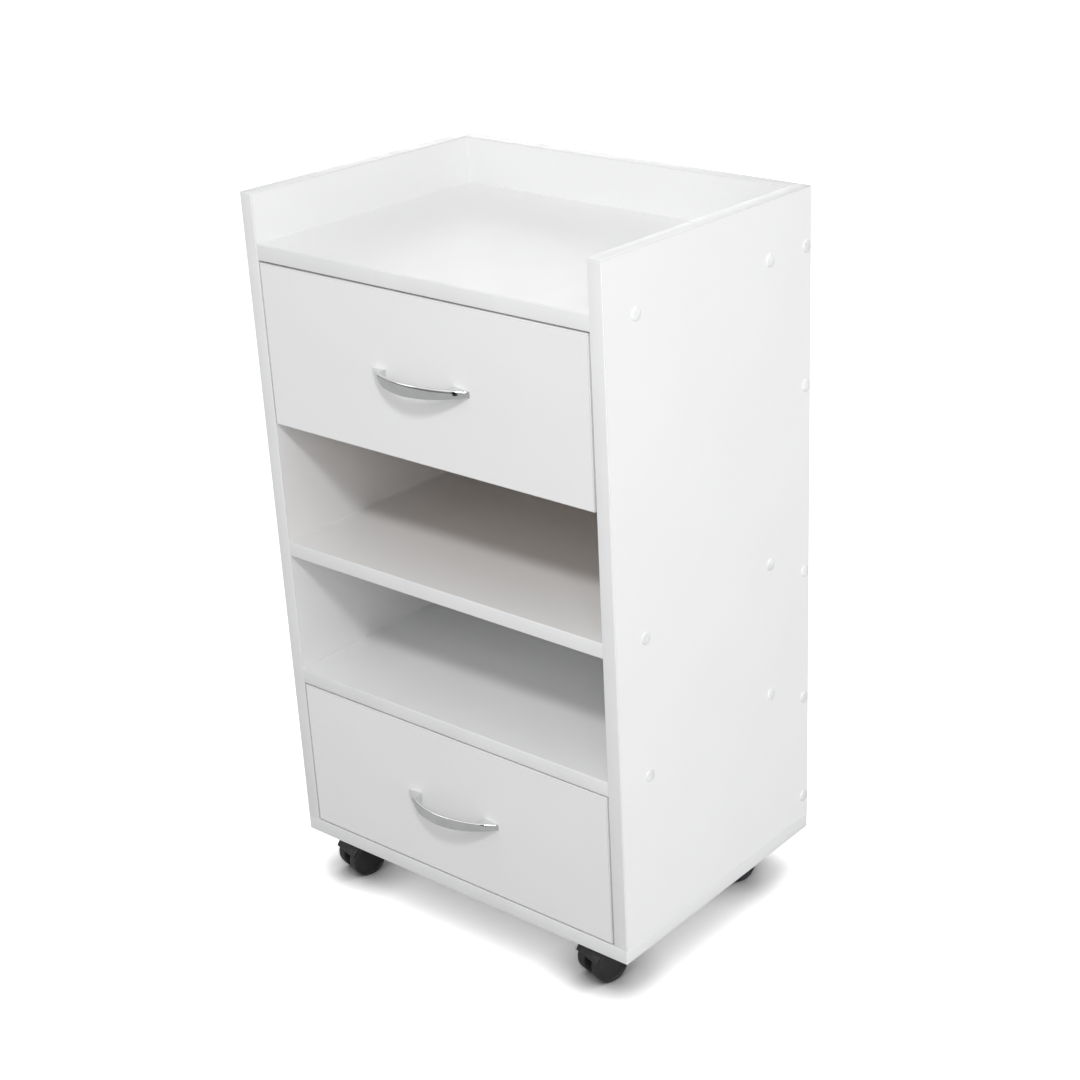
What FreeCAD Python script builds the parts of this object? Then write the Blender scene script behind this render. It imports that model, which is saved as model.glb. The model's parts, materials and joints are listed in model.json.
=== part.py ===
"""Manicure table: a narrow white cabinet on castors with two drawers, two open niches and a railed top.

Millimetres, +Z up. The origin is on the floor, under the middle of the whole outline: x runs to the
user's right, the drawer fronts face -Y. The carcass is laminated board with banded edges, screwed
together; each drawer is a screwed box on a pair of ball slides; each castor carries two wheels.
"""
import FreeCAD, Part
import math
import os

import Sketcher
from FreeCAD import Placement, Rotation, Vector

# alias, size, what it is
DIMENSIONS = (
    ("carcass_width", 450.0, "outside width over the side panels"),
    ("carcass_depth", 320.0, "front edges to back edges of the carcass"),
    ("panel", 16.0, "thickness of every board"),
    ("band", 1.0, "thickness of the edge banding"),
    ("gallery_rise", 50.0, "height of the sides and back above the top board"),
    ("lower_niche", 132.0, "clear height between the lower and the middle shelf"),
    ("upper_niche", 130.0, "middle shelf up to the lower edge of the upper drawer front"),
    ("front_height", 167.0, "height of a drawer front"),
    ("front_gap", 2.0, "gap round a drawer front"),
    ("screw_inset_front", 45.0, "front edge to the front panel screws"),
    ("screw_inset_rear", 70.0, "back edge to the rear panel screws"),
    ("back_screw_bottom", 27.0, "side panel's lower edge to the lowest back panel screw"),
    ("back_screw_drop", 22.0, "shelf underside down to the back panel screw below it"),
    ("back_screw_span", 134.0, "top board underside down to the back panel screw below it"),
    ("screw_head", 10.0, "panel screw: head diameter"),
    ("screw_head_height", 2.5, "panel screw: head height"),
    ("screw_shank", 7.0, "panel screw: shank diameter"),
    ("screw_thread", 5.0, "panel screw: thread diameter"),
    ("screw_length", 50.0, "panel screw: length under and with the head"),
    ("screw_socket", 4.4, "panel screw: hexagon socket across flats"),
    ("screw_socket_depth", 4.0, "panel screw: depth of the socket"),
    ("head_sink", 0.4, "panel screw: head below the face of the board"),
    ("bore_clearance", 0.1, "added to the diameter of every bore"),
    ("cap_width", 13.0, "cover cap: diameter"),
    ("cap_height", 1.4, "cover cap: height above the board"),
    ("cap_stem", 4.0, "cover cap: diameter of the stem in the socket"),
    ("cap_stem_length", 3.0, "cover cap: length of the stem"),
    ("slide_thickness", 12.7, "ball slide: room between carcass side and drawer side"),
    ("slide_height", 45.0, "ball slide: height of the cabinet rail"),
    ("slide_sheet", 1.2, "ball slide: sheet thickness"),
    ("slide_flange", 10.0, "ball slide: width of a rail's flanges"),
    ("slide_front_gap", 2.0, "back of the drawer fronts to the front of the slides"),
    ("slide_rear_gap", 36.0, "back of the slides to the back panel"),
    ("ball_width", 3.0, "ball slide: ball diameter"),
    ("ball_play", 0.3, "ball slide: room above and below a ball"),
    ("ball_pitch", 10.0, "ball slide: distance between balls"),
    ("ball_count", 8.0, "ball slide: balls in one cage"),
    ("cage_sheet", 0.8, "ball slide: thickness of a cage"),
    ("cage_width", 5.0, "ball slide: width of a cage"),
    ("middle_rail_gap", 2.0, "ball slide: back of the cabinet rail to the middle rail"),
    ("box_lift", 18.0, "lower edge of a front to the lower edge of its box sides"),
    ("box_height", 118.0, "height of the drawer box sides"),
    ("box_rear_gap", 23.0, "back of the drawer box to the back panel"),
    ("box_screw_inset", 20.0, "drawer box screws from the upper and lower edges"),
    ("box_bottom", 3.2, "thickness of the drawer bottom"),
    ("handle_length", 126.0, "handle: tip to tip"),
    ("handle_pitch", 96.0, "handle: distance between its screws"),
    ("handle_reach", 26.0, "handle: drawer front to the outside of the bow"),
    ("handle_strap", 4.0, "handle: thickness of the bow"),
    ("handle_middle", 13.0, "handle: height of the bow in the middle"),
    ("handle_tip", 6.0, "handle: height of the bow at its tips"),
    ("handle_post", 8.0, "handle: width of the foot about its screw"),
    ("handle_round", 1.2, "handle: radius along the edges of the bow"),
    ("handle_screw", 4.0, "handle screw: diameter"),
    ("handle_screw_bite", 7.0, "handle screw: length inside the handle's foot"),
    ("handle_screw_head", 8.0, "handle screw: head diameter"),
    ("handle_screw_head_height", 2.2, "handle screw: head height"),
    ("small_screw", 3.4, "rail and castor screws: diameter"),
    ("small_screw_length", 13.0, "rail and castor screws: length under the head"),
    ("small_screw_head", 6.4, "rail and castor screws: head diameter"),
    ("small_screw_head_height", 1.4, "rail and castor screws: head height"),
    ("rail_screw_inset", 35.0, "rail screws from the ends of a rail"),
    ("castor_inset_side", 52.0, "swivel axis from the side of the carcass"),
    ("castor_inset_end", 46.0, "swivel axis from the front or back of the carcass"),
    ("castor_turn", -15.0, "castors at rest, degrees about their swivel axes"),
    ("castor_trail", 17.0, "swivel axis to the wheel axle"),
    ("castor_plate", 38.0, "mounting plate: side"),
    ("castor_plate_sheet", 2.0, "mounting plate: thickness"),
    ("castor_screw_inset", 5.0, "mounting plate: screws from its edges"),
    ("castor_ring", 20.0, "bearing ring under the plate: diameter"),
    ("castor_ring_height", 2.0, "bearing ring under the plate: height"),
    ("castor_stem", 7.4, "swivel stem: diameter"),
    ("castor_stem_length", 18.0, "swivel stem: length under the plate"),
    ("castor_core", 11.4, "hood: width between the wheels"),
    ("castor_play", 0.3, "running gap between castor pieces"),
    ("wheel_width", 12.0, "castor wheel: width"),
    ("wheel_diameter", 40.0, "castor wheel: diameter"),
    ("wheel_rim", 3.5, "castor wheel: height of the rim"),
    ("wheel_hub", 11.0, "castor wheel: hub diameter"),
    ("wheel_dish", 3.0, "castor wheel: depth of the dish in its outer face"),
    ("wheel_round", 2.0, "castor wheel: radius of the tread's edges"),
    ("hood_gap", 1.2, "hood: clear of the tread"),
    ("hood_sheet", 1.8, "hood: thickness of the canopy"),
    ("hood_headroom", 3.0, "hood: top of the canopy to the bearing ring"),
    ("hood_start", -12.0, "hood: lower end of the canopy, degrees up from level on the stem's side"),
    ("hood_sweep", 168.0, "hood: angle that the canopy covers"),
    ("hood_hub", 12.0, "hood: diameter round the axle"),
    ("axle_width", 5.0, "wheel axle: diameter"),
    ("axle_end", 1.5, "wheel axle: end inside the wheel's outer face"),
)

DRAWERS = ("upper", "lower")
SIDES = (("left", -1), ("right", 1))
ENDS = (("front", -1), ("rear", 1))

# Floor to the underside of the bottom board: what the castors add up to.
HOOD_TOP = "(Dims.wheel_diameter + Dims.hood_gap + Dims.hood_sheet)"
CASTOR_HEIGHT = f"({HOOD_TOP} + Dims.hood_headroom + Dims.castor_ring_height + Dims.castor_plate_sheet)"

# Heights of the boards and fronts, bottom to top, as expressions on the sheet.
SIDE_FOOT = f"({CASTOR_HEIGHT} + Dims.panel)"
LOWER_FRONT = f"({SIDE_FOOT} + Dims.front_gap)"
LOWER_SHELF = f"({LOWER_FRONT} + Dims.front_height + Dims.front_gap)"
MIDDLE_SHELF = f"({LOWER_SHELF} + Dims.panel + Dims.lower_niche)"
UPPER_FRONT = f"({MIDDLE_SHELF} + Dims.panel + Dims.upper_niche)"
TOP_BOARD = f"({UPPER_FRONT} + Dims.front_height + Dims.front_gap)"
SIDE_TOP = f"({TOP_BOARD} + Dims.panel + Dims.gallery_rise)"
FRONT_LEVEL = {"upper": UPPER_FRONT, "lower": LOWER_FRONT}

# Depth and width of the carcass and what fits inside it.
FRONT = "((Dims.handle_reach - Dims.carcass_depth) / 2)"
CORE_FRONT = f"({FRONT} + Dims.band)"
CORE_DEPTH = "(Dims.carcass_depth - Dims.band)"
BACK_PANEL = f"({FRONT} + Dims.carcass_depth - Dims.panel)"
HALF_WIDTH = "(Dims.carcass_width / 2)"
INSIDE = "(Dims.carcass_width - 2 * Dims.panel)"
HALF_INSIDE = f"({INSIDE} / 2)"
SHELF_DEPTH = "(Dims.carcass_depth - Dims.panel - Dims.band)"
SIDE_HEIGHT = f"({SIDE_TOP} - {SIDE_FOOT})"
FRONT_WIDTH = f"({INSIDE} - 2 * Dims.front_gap)"
BOX_WIDTH = f"({INSIDE} - 2 * Dims.slide_thickness)"
BOX_INSIDE = f"({BOX_WIDTH} - 2 * Dims.panel)"
BOX_FRONT = f"({FRONT} + Dims.panel)"
BOX_DEPTH = "(Dims.carcass_depth - 2 * Dims.panel - Dims.box_rear_gap)"
SLIDE_SETBACK = "(Dims.panel + Dims.slide_front_gap)"
SLIDE_LENGTH = f"(Dims.carcass_depth - Dims.panel - {SLIDE_SETBACK} - Dims.slide_rear_gap)"
SIDE_SCREW_INSETS = ("Dims.screw_inset_front", "(Dims.carcass_depth - Dims.screw_inset_rear)")

doc = FreeCAD.newDocument("manicure_table")
sheet = doc.addObject("Spreadsheet::Sheet", "Dims")
parts = []


def fill_sheet():
    """Writes the driving dimensions, one to a row, each with its alias."""
    for row, (alias, size, meaning) in enumerate(DIMENSIONS, start=1):
        sheet.set(f"A{row}", meaning)
        sheet.set(f"B{row}", str(size))
        sheet.setAlias(f"B{row}", alias)
    doc.recompute()


def value(expression):
    """The number that an expression on the sheet gives now."""
    result = sheet.evalExpression(expression)
    return float(getattr(result, "Value", result))


def size_of(alias):
    """The number in the sheet's cell of that name."""
    return float(sheet.get(alias))


def keep(part):
    """Adds a finished sub-part to those that are written."""
    part.Label = part.Name
    parts.append(part)
    return part


def place(thing, x, y, z):
    """Binds an object's place to three expressions."""
    for axis, expression in zip("xyz", (x, y, z)):
        thing.setExpression(f"Placement.Base.{axis}", expression)
    return thing


# ---- sketches ---------------------------------------------------------------------------------------


def sketch_on(body, name, role, offset=None):
    """A sketch on one of the body's own origin planes, lifted off it by an expression."""
    sketch = body.newObject("Sketcher::SketchObject", name)
    origin_plane = next(f for f in body.Origin.OriginFeatures if f.Role == role)
    sketch.AttachmentSupport = (origin_plane, [""])
    sketch.MapMode = "FlatFace"
    if offset is not None:
        sketch.setExpression("AttachmentOffset.Base.z", offset)
    return sketch


def pin(sketch, geometry, point, axis, expression):
    """Ties one coordinate of a sketch point to an expression, or to the axis where it is zero."""
    if expression == "0":
        sketch.addConstraint(Sketcher.Constraint("PointOnObject", geometry, point, -2 if axis == "X" else -1))
        return
    number = value(expression)
    index = sketch.addConstraint(Sketcher.Constraint(f"Distance{axis}", -1, 1, geometry, point, number))
    name = f"p{geometry}_{point}_{axis}"
    sketch.renameConstraint(index, name)
    sketch.setExpression(f".Constraints.{name}", expression)


def size_constraint(sketch, kind, geometry, name, expression):
    """A radius or diameter tied to an expression."""
    index = sketch.addConstraint(Sketcher.Constraint(kind, geometry, value(expression)))
    sketch.renameConstraint(index, name)
    sketch.setExpression(f".Constraints.{name}", expression)


def outline(sketch, corners):
    """A closed outline of straight edges through corners given as pairs of expressions."""
    spots = [Vector(value(x), value(y), 0) for x, y in corners]
    first = sketch.GeometryCount
    count = len(spots)
    for i in range(count):
        sketch.addGeometry(Part.LineSegment(spots[i], spots[(i + 1) % count]), False)
    for i in range(count):
        following = first + (i + 1) % count
        sketch.addConstraint(Sketcher.Constraint("Coincident", first + i, 2, following, 1))
    for i, (x, y) in enumerate(corners):
        pin(sketch, first + i, 1, "X", x)
        pin(sketch, first + i, 1, "Y", y)


def circles(sketch, spots, diameter):
    """Circles of one diameter; the others follow the first."""
    first = sketch.GeometryCount
    for i, (x, y) in enumerate(spots):
        centre = Vector(value(x), value(y), 0)
        sketch.addGeometry(Part.Circle(centre, Vector(0, 0, 1), value(diameter) / 2), False)
        pin(sketch, first + i, 3, "X", x)
        pin(sketch, first + i, 3, "Y", y)
        if i == 0:
            size_constraint(sketch, "Diameter", first, "width", diameter)
        else:
            sketch.addConstraint(Sketcher.Constraint("Equal", first, first + i))


# ---- features ---------------------------------------------------------------------------------------


def new_body(name):
    """An empty body."""
    return doc.addObject("PartDesign::Body", name)


def pad(body, sketch, length, forward=True, midplane=False):
    """Pads a sketch by an expression, along its normal or against it."""
    feature = body.newObject("PartDesign::Pad", f"{sketch.Name}_pad")
    feature.Profile = sketch
    feature.setExpression("Length", length)
    feature.Reversed = not forward
    feature.Midplane = midplane
    doc.recompute()
    return feature


def cut(body, sketch, length=None, forward=True, midplane=False):
    """Cuts a sketch out of the body, to a depth or right through, and checks that it took something away."""
    before = body.Shape.Volume
    feature = body.newObject("PartDesign::Pocket", f"{sketch.Name}_cut")
    feature.Profile = sketch
    feature.Reversed = forward
    feature.Midplane = midplane
    if length is None:
        feature.Type = "ThroughAll"
    else:
        feature.setExpression("Length", length)
    doc.recompute()
    if body.Shape.Volume >= before:
        raise RuntimeError(f"{sketch.Name} cuts nothing")
    return feature


def round_off(body, edges, radius):
    """Rounds named edges of the body as it stands."""
    solid = body.Tip
    rounding = body.newObject("PartDesign::Fillet", f"{body.Name}_rounding")
    rounding.Base = (solid, edges)
    rounding.setExpression("Radius", radius)
    doc.recompute()
    return rounding


def bore(body, name, role, offset, spots, diameter, depth, forward):
    """Round holes of one size from a plane into the body."""
    sketch = sketch_on(body, f"{body.Name}_{name}", role, offset)
    circles(sketch, spots, diameter)
    return cut(body, sketch, depth, forward)


def board(name, role, across, up, thickness="Dims.panel"):
    """A rectangular board with its corner at the body's origin, padded along +X, +Y or +Z."""
    body = new_body(name)
    sketch = sketch_on(body, f"{name}_outline", role)
    outline(sketch, (("0", "0"), (across, "0"), (across, up), ("0", up)))
    pad(body, sketch, thickness, forward=role != "XZ_Plane")
    return keep(body)


def box(name, x, y, z, length, width, height):
    """A plain block for a group, its corner and sizes tied to expressions."""
    block = doc.addObject("Part::Box", name)
    block.setExpression("Length", length)
    block.setExpression("Width", width)
    block.setExpression("Height", height)
    return place(block, x, y, z)


def group(name, blocks):
    """Separate solids that make one sub-part."""
    compound = doc.addObject("Part::Compound", name)
    compound.Links = blocks
    return keep(compound)


def computed(name, shapes):
    """A sub-part of separate solids whose shapes are worked out from the sheet."""
    feature = doc.addObject("Part::Feature", name)
    feature.Shape = Part.makeCompound(shapes)
    return keep(feature)


def aimed(x, y, z, direction):
    """A placement that turns +Z to a direction and moves the origin to a point."""
    return Placement(Vector(x, y, z), Rotation(Vector(0, 0, 1), Vector(*direction)))


def copies(master, placements):
    """The master's shape at each placement."""
    made = []
    for placement in placements:
        shape = master.copy()
        shape.Placement = placement
        made.append(shape)
    return made


# ---- fasteners: each points along +Z from the face it is driven into ---------------------------------


def panel_screw():
    """A panel screw: sunk flat head with a hexagon socket, plain shank, thinner threaded end."""
    sink = size_of("head_sink")
    head = Part.makeCylinder(size_of("screw_head") / 2, size_of("screw_head_height"), Vector(0, 0, sink))
    shank_end = size_of("panel")
    shank = Part.makeCylinder(size_of("screw_shank") / 2, shank_end - sink, Vector(0, 0, sink))
    length = size_of("screw_length")
    thread = Part.makeCylinder(size_of("screw_thread") / 2, length - sink, Vector(0, 0, sink))
    flats = size_of("screw_socket")
    corner = flats / math.sqrt(3)
    points = [Vector(corner * math.cos(a), corner * math.sin(a), sink) for a in sixths()]
    socket = Part.Face(Part.makePolygon(points + points[:1]))
    socket = socket.extrude(Vector(0, 0, size_of("screw_socket_depth")))
    return head.fuse([shank, thread]).cut(socket).removeSplitter()


def sixths():
    """The directions of a hexagon's corners."""
    return [i * math.pi / 3 for i in range(6)]


def round_head_screw(diameter, length, head_width, head_height):
    """A screw whose domed head stands on the face and whose shank goes in."""
    shank = Part.makeCylinder(diameter / 2, length)
    radius = head_width / 2
    rise = head_height
    dome_radius = (radius ** 2 + rise ** 2) / (2 * rise)
    ball = Part.makeSphere(dome_radius, Vector(0, 0, dome_radius - rise))
    head = ball.common(Part.makeCylinder(head_width, rise, Vector(0, 0, -rise)))
    return head.fuse(shank).removeSplitter()


def small_screw():
    """The screw that holds the rails and the castors."""
    return round_head_screw(
        size_of("small_screw"),
        size_of("small_screw_length"),
        size_of("small_screw_head"),
        size_of("small_screw_head_height"),
    )


def cover_cap():
    """A low domed cap with a stem that plugs into the panel screw's socket."""
    radius = size_of("cap_width") / 2
    rise = size_of("cap_height")
    rim = rise / 2
    dome_rise = rise - rim
    dome_radius = (radius ** 2 + dome_rise ** 2) / (2 * dome_rise)
    ball = Part.makeSphere(dome_radius, Vector(0, 0, dome_radius - rise))
    cap = ball.common(Part.makeCylinder(radius, rise, Vector(0, 0, -rise)))
    stem = Part.makeCylinder(size_of("cap_stem") / 2, size_of("cap_stem_length") + size_of("head_sink"))
    return cap.fuse(stem).removeSplitter()


# ---- carcass ----------------------------------------------------------------------------------------


def side_screw_spots():
    """Where the side panels are screwed, as (distance from the front edge, height) expressions."""
    spots = []
    for level in (LOWER_SHELF, MIDDLE_SHELF, TOP_BOARD):
        spots += [(inset, f"({level} + Dims.panel / 2)") for inset in SIDE_SCREW_INSETS]
    spots += [("(Dims.carcass_depth - Dims.panel / 2)", height) for height in back_screw_heights()]
    return spots


def back_screw_heights():
    """Heights of the screws from a side panel into the back panel's edge."""
    return (
        f"({SIDE_FOOT} + Dims.back_screw_bottom)",
        f"({LOWER_SHELF} - Dims.back_screw_drop)",
        f"({MIDDLE_SHELF} - Dims.back_screw_drop)",
        f"({TOP_BOARD} - Dims.back_screw_span)",
        f"({TOP_BOARD} + Dims.panel / 2)",
    )


def rail_screw_spots():
    """Distances of the rail screws behind the carcass front."""
    start = f"({SLIDE_SETBACK} + Dims.rail_screw_inset)"
    end = f"({SLIDE_SETBACK} + {SLIDE_LENGTH} - Dims.rail_screw_inset)"
    return start, end


def slide_height(drawer):
    """Height of the middle of a drawer's slides."""
    return f"({FRONT_LEVEL[drawer]} + Dims.box_lift + Dims.box_height / 2)"


def make_side_panel(side, sign):
    """A side panel: bored for the panel screws, the rail screws and the bottom board's screws."""
    panel = board(f"{side}_side_panel", "YZ_Plane", CORE_DEPTH, f"({SIDE_HEIGHT} - Dims.band)")
    place(panel, HALF_INSIDE if sign > 0 else f"-{HALF_WIDTH}", CORE_FRONT, SIDE_FOOT)
    spots = [(f"({y} - Dims.band)", f"({z} - {SIDE_FOOT})") for y, z in side_screw_spots()]
    outer, inner = ("Dims.panel", "0") if sign > 0 else ("0", "Dims.panel")
    shank = "Dims.screw_shank + Dims.bore_clearance"
    head = "Dims.screw_head + Dims.bore_clearance"
    recess = "Dims.head_sink + Dims.screw_head_height"
    bore(panel, "screw_holes", "YZ_Plane", "0", spots, shank, None, True)
    bore(panel, "head_recesses", "YZ_Plane", outer, spots, head, recess, sign < 0)
    pilots = [
        (f"({y} - Dims.band)", f"({slide_height(drawer)} - {SIDE_FOOT})")
        for drawer in DRAWERS
        for y in rail_screw_spots()
    ]
    pilot = "Dims.small_screw + Dims.bore_clearance"
    bore(panel, "rail_pilots", "YZ_Plane", inner, pilots, pilot, "Dims.small_screw_length", sign > 0)
    edge = [("Dims.panel / 2", f"({y} - Dims.band)") for y in SIDE_SCREW_INSETS]
    thread = "Dims.screw_thread + Dims.bore_clearance"
    bore(panel, "edge_pilots", "XY_Plane", "0", edge, thread, "Dims.screw_length - Dims.panel", True)


def back_panel_insets():
    """Distances of the bottom board's screws into the back panel, from its left end."""
    return f"({INSIDE} / 4)", f"({INSIDE} * 3 / 4)"


def bore_ends(panel, spots):
    """Pilot holes for the panel screws in both ends of a board that lies between the sides."""
    thread = "Dims.screw_thread + Dims.bore_clearance"
    depth = "Dims.screw_length - Dims.panel"
    bore(panel, "left_pilots", "YZ_Plane", "0", spots, thread, depth, True)
    bore(panel, "right_pilots", "YZ_Plane", INSIDE, spots, thread, depth, False)


def make_back_panel():
    """The back panel stands between the sides and rises with them above the top board."""
    panel = board("back_panel", "XZ_Plane", INSIDE, f"({SIDE_HEIGHT} - Dims.band)")
    place(panel, f"-{HALF_INSIDE}", BACK_PANEL, SIDE_FOOT)
    bore_ends(panel, [("Dims.panel / 2", f"({z} - {SIDE_FOOT})") for z in back_screw_heights()])
    spots = [(x, "Dims.panel / 2") for x in back_panel_insets()]
    thread = "Dims.screw_thread + Dims.bore_clearance"
    bore(panel, "edge_pilots", "XY_Plane", "0", spots, thread, "Dims.screw_length - Dims.panel", True)


def make_shelf(name, level):
    """A board between the sides, in front of the back panel."""
    shelf = board(name, "XY_Plane", INSIDE, SHELF_DEPTH)
    place(shelf, f"-{HALF_INSIDE}", CORE_FRONT, level)
    bore_ends(shelf, [(f"({y} - Dims.band)", "Dims.panel / 2") for y in SIDE_SCREW_INSETS])


def castor_axes():
    """Swivel axes as (name, x, y) expressions, in the carcass's frame."""
    axes = []
    for end, towards in ENDS:
        for side, sign in SIDES:
            x = f"({sign} * ({HALF_WIDTH} - Dims.castor_inset_side))"
            inset = "Dims.castor_inset_end"
            y = f"({FRONT} + {inset})" if towards < 0 else f"({FRONT} + Dims.carcass_depth - {inset})"
            axes.append((f"{end}_{side}", x, y))
    return axes


def castor_screw_spots():
    """Where the castor plates are screwed to the bottom board."""
    reach = "(Dims.castor_plate / 2 - Dims.castor_screw_inset)"
    corners = ((-1, -1), (1, -1), (1, 1), (-1, 1))
    spots = []
    for _, x, y in castor_axes():
        spots += [(f"({x} + {i} * {reach})", f"({y} + {j} * {reach})") for i, j in corners]
    return spots


def bottom_screw_spots():
    """Where the bottom board is screwed to the sides and the back panel, in the carcass's frame."""
    spots = []
    for _, sign in SIDES:
        x = f"({sign} * ({HALF_WIDTH} - Dims.panel / 2))"
        spots += [(x, f"({FRONT} + {y})") for y in SIDE_SCREW_INSETS]
    spots += [(f"({x} - {HALF_INSIDE})", f"({BACK_PANEL} + Dims.panel / 2)") for x in back_panel_insets()]
    return spots


def make_bottom_board():
    """The bottom board runs under the sides and the back panel and carries the castors."""
    panel = board("bottom_board", "XY_Plane", "(Dims.carcass_width - 2 * Dims.band)", CORE_DEPTH)
    place(panel, f"(Dims.band - {HALF_WIDTH})", CORE_FRONT, CASTOR_HEIGHT)

    def local(spots):
        return [(f"({x} + {HALF_WIDTH} - Dims.band)", f"({y} - {CORE_FRONT})") for x, y in spots]

    screws = local(bottom_screw_spots())
    shank = "Dims.screw_shank + Dims.bore_clearance"
    bore(panel, "screw_holes", "XY_Plane", "0", screws, shank, None, True)
    head = "Dims.screw_head + Dims.bore_clearance"
    recess = "Dims.head_sink + Dims.screw_head_height"
    bore(panel, "head_recesses", "XY_Plane", "0", screws, head, recess, True)
    pilot = "Dims.small_screw + Dims.bore_clearance"
    castors = local(castor_screw_spots())
    bore(panel, "castor_pilots", "XY_Plane", "0", castors, pilot, "Dims.small_screw_length", True)


def make_carcass_bands():
    """Banding on every edge of the carcass that shows."""
    band = "Dims.band"
    top = f"({SIDE_TOP} - Dims.band)"
    bands = []
    for side, sign in SIDES:
        x = HALF_INSIDE if sign > 0 else f"-{HALF_WIDTH}"
        bands.append(box(f"{side}_front_band", x, FRONT, SIDE_FOOT, "Dims.panel", band, SIDE_HEIGHT))
        bands.append(box(f"{side}_top_band", x, CORE_FRONT, top, "Dims.panel", CORE_DEPTH, band))
        end = f"({HALF_WIDTH} - Dims.band)" if sign > 0 else f"-{HALF_WIDTH}"
        low = f"{side}_bottom_band"
        bands.append(box(low, end, CORE_FRONT, CASTOR_HEIGHT, band, CORE_DEPTH, "Dims.panel"))
    bands.append(box("back_top_band", f"-{HALF_INSIDE}", BACK_PANEL, top, INSIDE, "Dims.panel", band))
    for name, level in (("lower", LOWER_SHELF), ("middle", MIDDLE_SHELF), ("top", TOP_BOARD)):
        bands.append(box(f"{name}_shelf_band", f"-{HALF_INSIDE}", FRONT, level, INSIDE, band, "Dims.panel"))
    wide = "Dims.carcass_width"
    bands.append(box("bottom_front_band", f"-{HALF_WIDTH}", FRONT, CASTOR_HEIGHT, wide, band, "Dims.panel"))
    group("carcass_edge_bands", bands)


def carcass_screw_placements():
    """Panel screws through the sides, driven inwards."""
    placements = []
    for _, sign in SIDES:
        for y, z in side_screw_spots():
            x = sign * value(HALF_WIDTH)
            placements.append(aimed(x, value(FRONT) + value(y), value(z), (-sign, 0, 0)))
    return placements


def make_carcass_fasteners():
    """Panel screws, their cover caps on the sides, and the screws of the rails."""
    sides = carcass_screw_placements()
    floor = [aimed(value(x), value(y), value(CASTOR_HEIGHT), (0, 0, 1)) for x, y in bottom_screw_spots()]
    computed("panel_screws", copies(panel_screw(), sides + floor))
    computed("screw_caps", copies(cover_cap(), sides))
    rails = []
    for drawer in DRAWERS:
        for _, sign in SIDES:
            for y in rail_screw_spots():
                x = sign * (value(HALF_INSIDE) - size_of("slide_sheet"))
                rails.append(aimed(x, value(FRONT) + value(y), value(slide_height(drawer)), (sign, 0, 0)))
    computed("cabinet_rail_screws", copies(small_screw(), rails))


# ---- ball slides ------------------------------------------------------------------------------------


BALL_ROOM = "(Dims.ball_width + 2 * Dims.ball_play)"
CABINET_REACH = "(Dims.slide_height / 2)"
MIDDLE_REACH = f"({CABINET_REACH} - Dims.slide_sheet - {BALL_ROOM})"
DRAWER_REACH = f"({MIDDLE_REACH} - Dims.slide_sheet - {BALL_ROOM})"
MIDDLE_BACK = "(Dims.slide_sheet + Dims.middle_rail_gap)"
DRAWER_LIPS = f"({MIDDLE_BACK} + 2 * Dims.slide_sheet)"


def channel_corners(back, reach, lips):
    """Corners of a C-shaped section: its back at one width, its flanges running to another."""
    sheet_size = "Dims.slide_sheet" if value(lips) > value(back) else "(-1 * Dims.slide_sheet)"
    inner = f"({reach} - Dims.slide_sheet)"
    web = f"({back} + {sheet_size})"
    return (
        (back, f"(-1 * {reach})"),
        (lips, f"(-1 * {reach})"),
        (lips, f"(-1 * {inner})"),
        (web, f"(-1 * {inner})"),
        (web, inner),
        (lips, inner),
        (lips, reach),
        (back, reach),
    )


def mirrored(corners, sign):
    """A section's corners for the left or the right slide, measured from the middle of the cabinet."""
    return [(f"({sign} * ({HALF_INSIDE} - {x}))", y) for x, y in corners]


def make_rail_pair(name, drawer, back, reach, lips, screw_holes):
    """The left and right rails of one kind for one drawer, padded from their section."""
    body = new_body(name)
    body.AllowCompound = True
    for side, sign in SIDES:
        sketch = sketch_on(body, f"{name}_{side}", "XZ_Plane")
        outline(sketch, mirrored(channel_corners(back, reach, lips), sign))
        pad(body, sketch, SLIDE_LENGTH, forward=False)
    if screw_holes:
        diameter = "Dims.small_screw + Dims.bore_clearance"
        spots = [(f"({y} - {SLIDE_SETBACK})", "0") for y in rail_screw_spots()]
        bore(body, "screw_holes", "YZ_Plane", "0", spots, diameter, None, True)
        bore(body, "more_screw_holes", "YZ_Plane", "0", spots, diameter, None, False)
    place(body, "0", f"({FRONT} + {SLIDE_SETBACK})", slide_height(drawer))
    return keep(body)


def ball_cage():
    """A flat strip that holds one row of balls; it lies along +Y from the origin."""
    pitch = size_of("ball_pitch")
    count = int(size_of("ball_count"))
    width = size_of("cage_width")
    thickness = size_of("cage_sheet")
    strip = Part.makeBox(width, pitch * count, thickness, Vector(-width / 2, 0, -thickness / 2))
    radius = size_of("ball_width") / 2
    balls = [Part.makeSphere(radius, Vector(0, pitch * (i + 0.5), 0)) for i in range(count)]
    return strip.fuse(balls)


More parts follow.
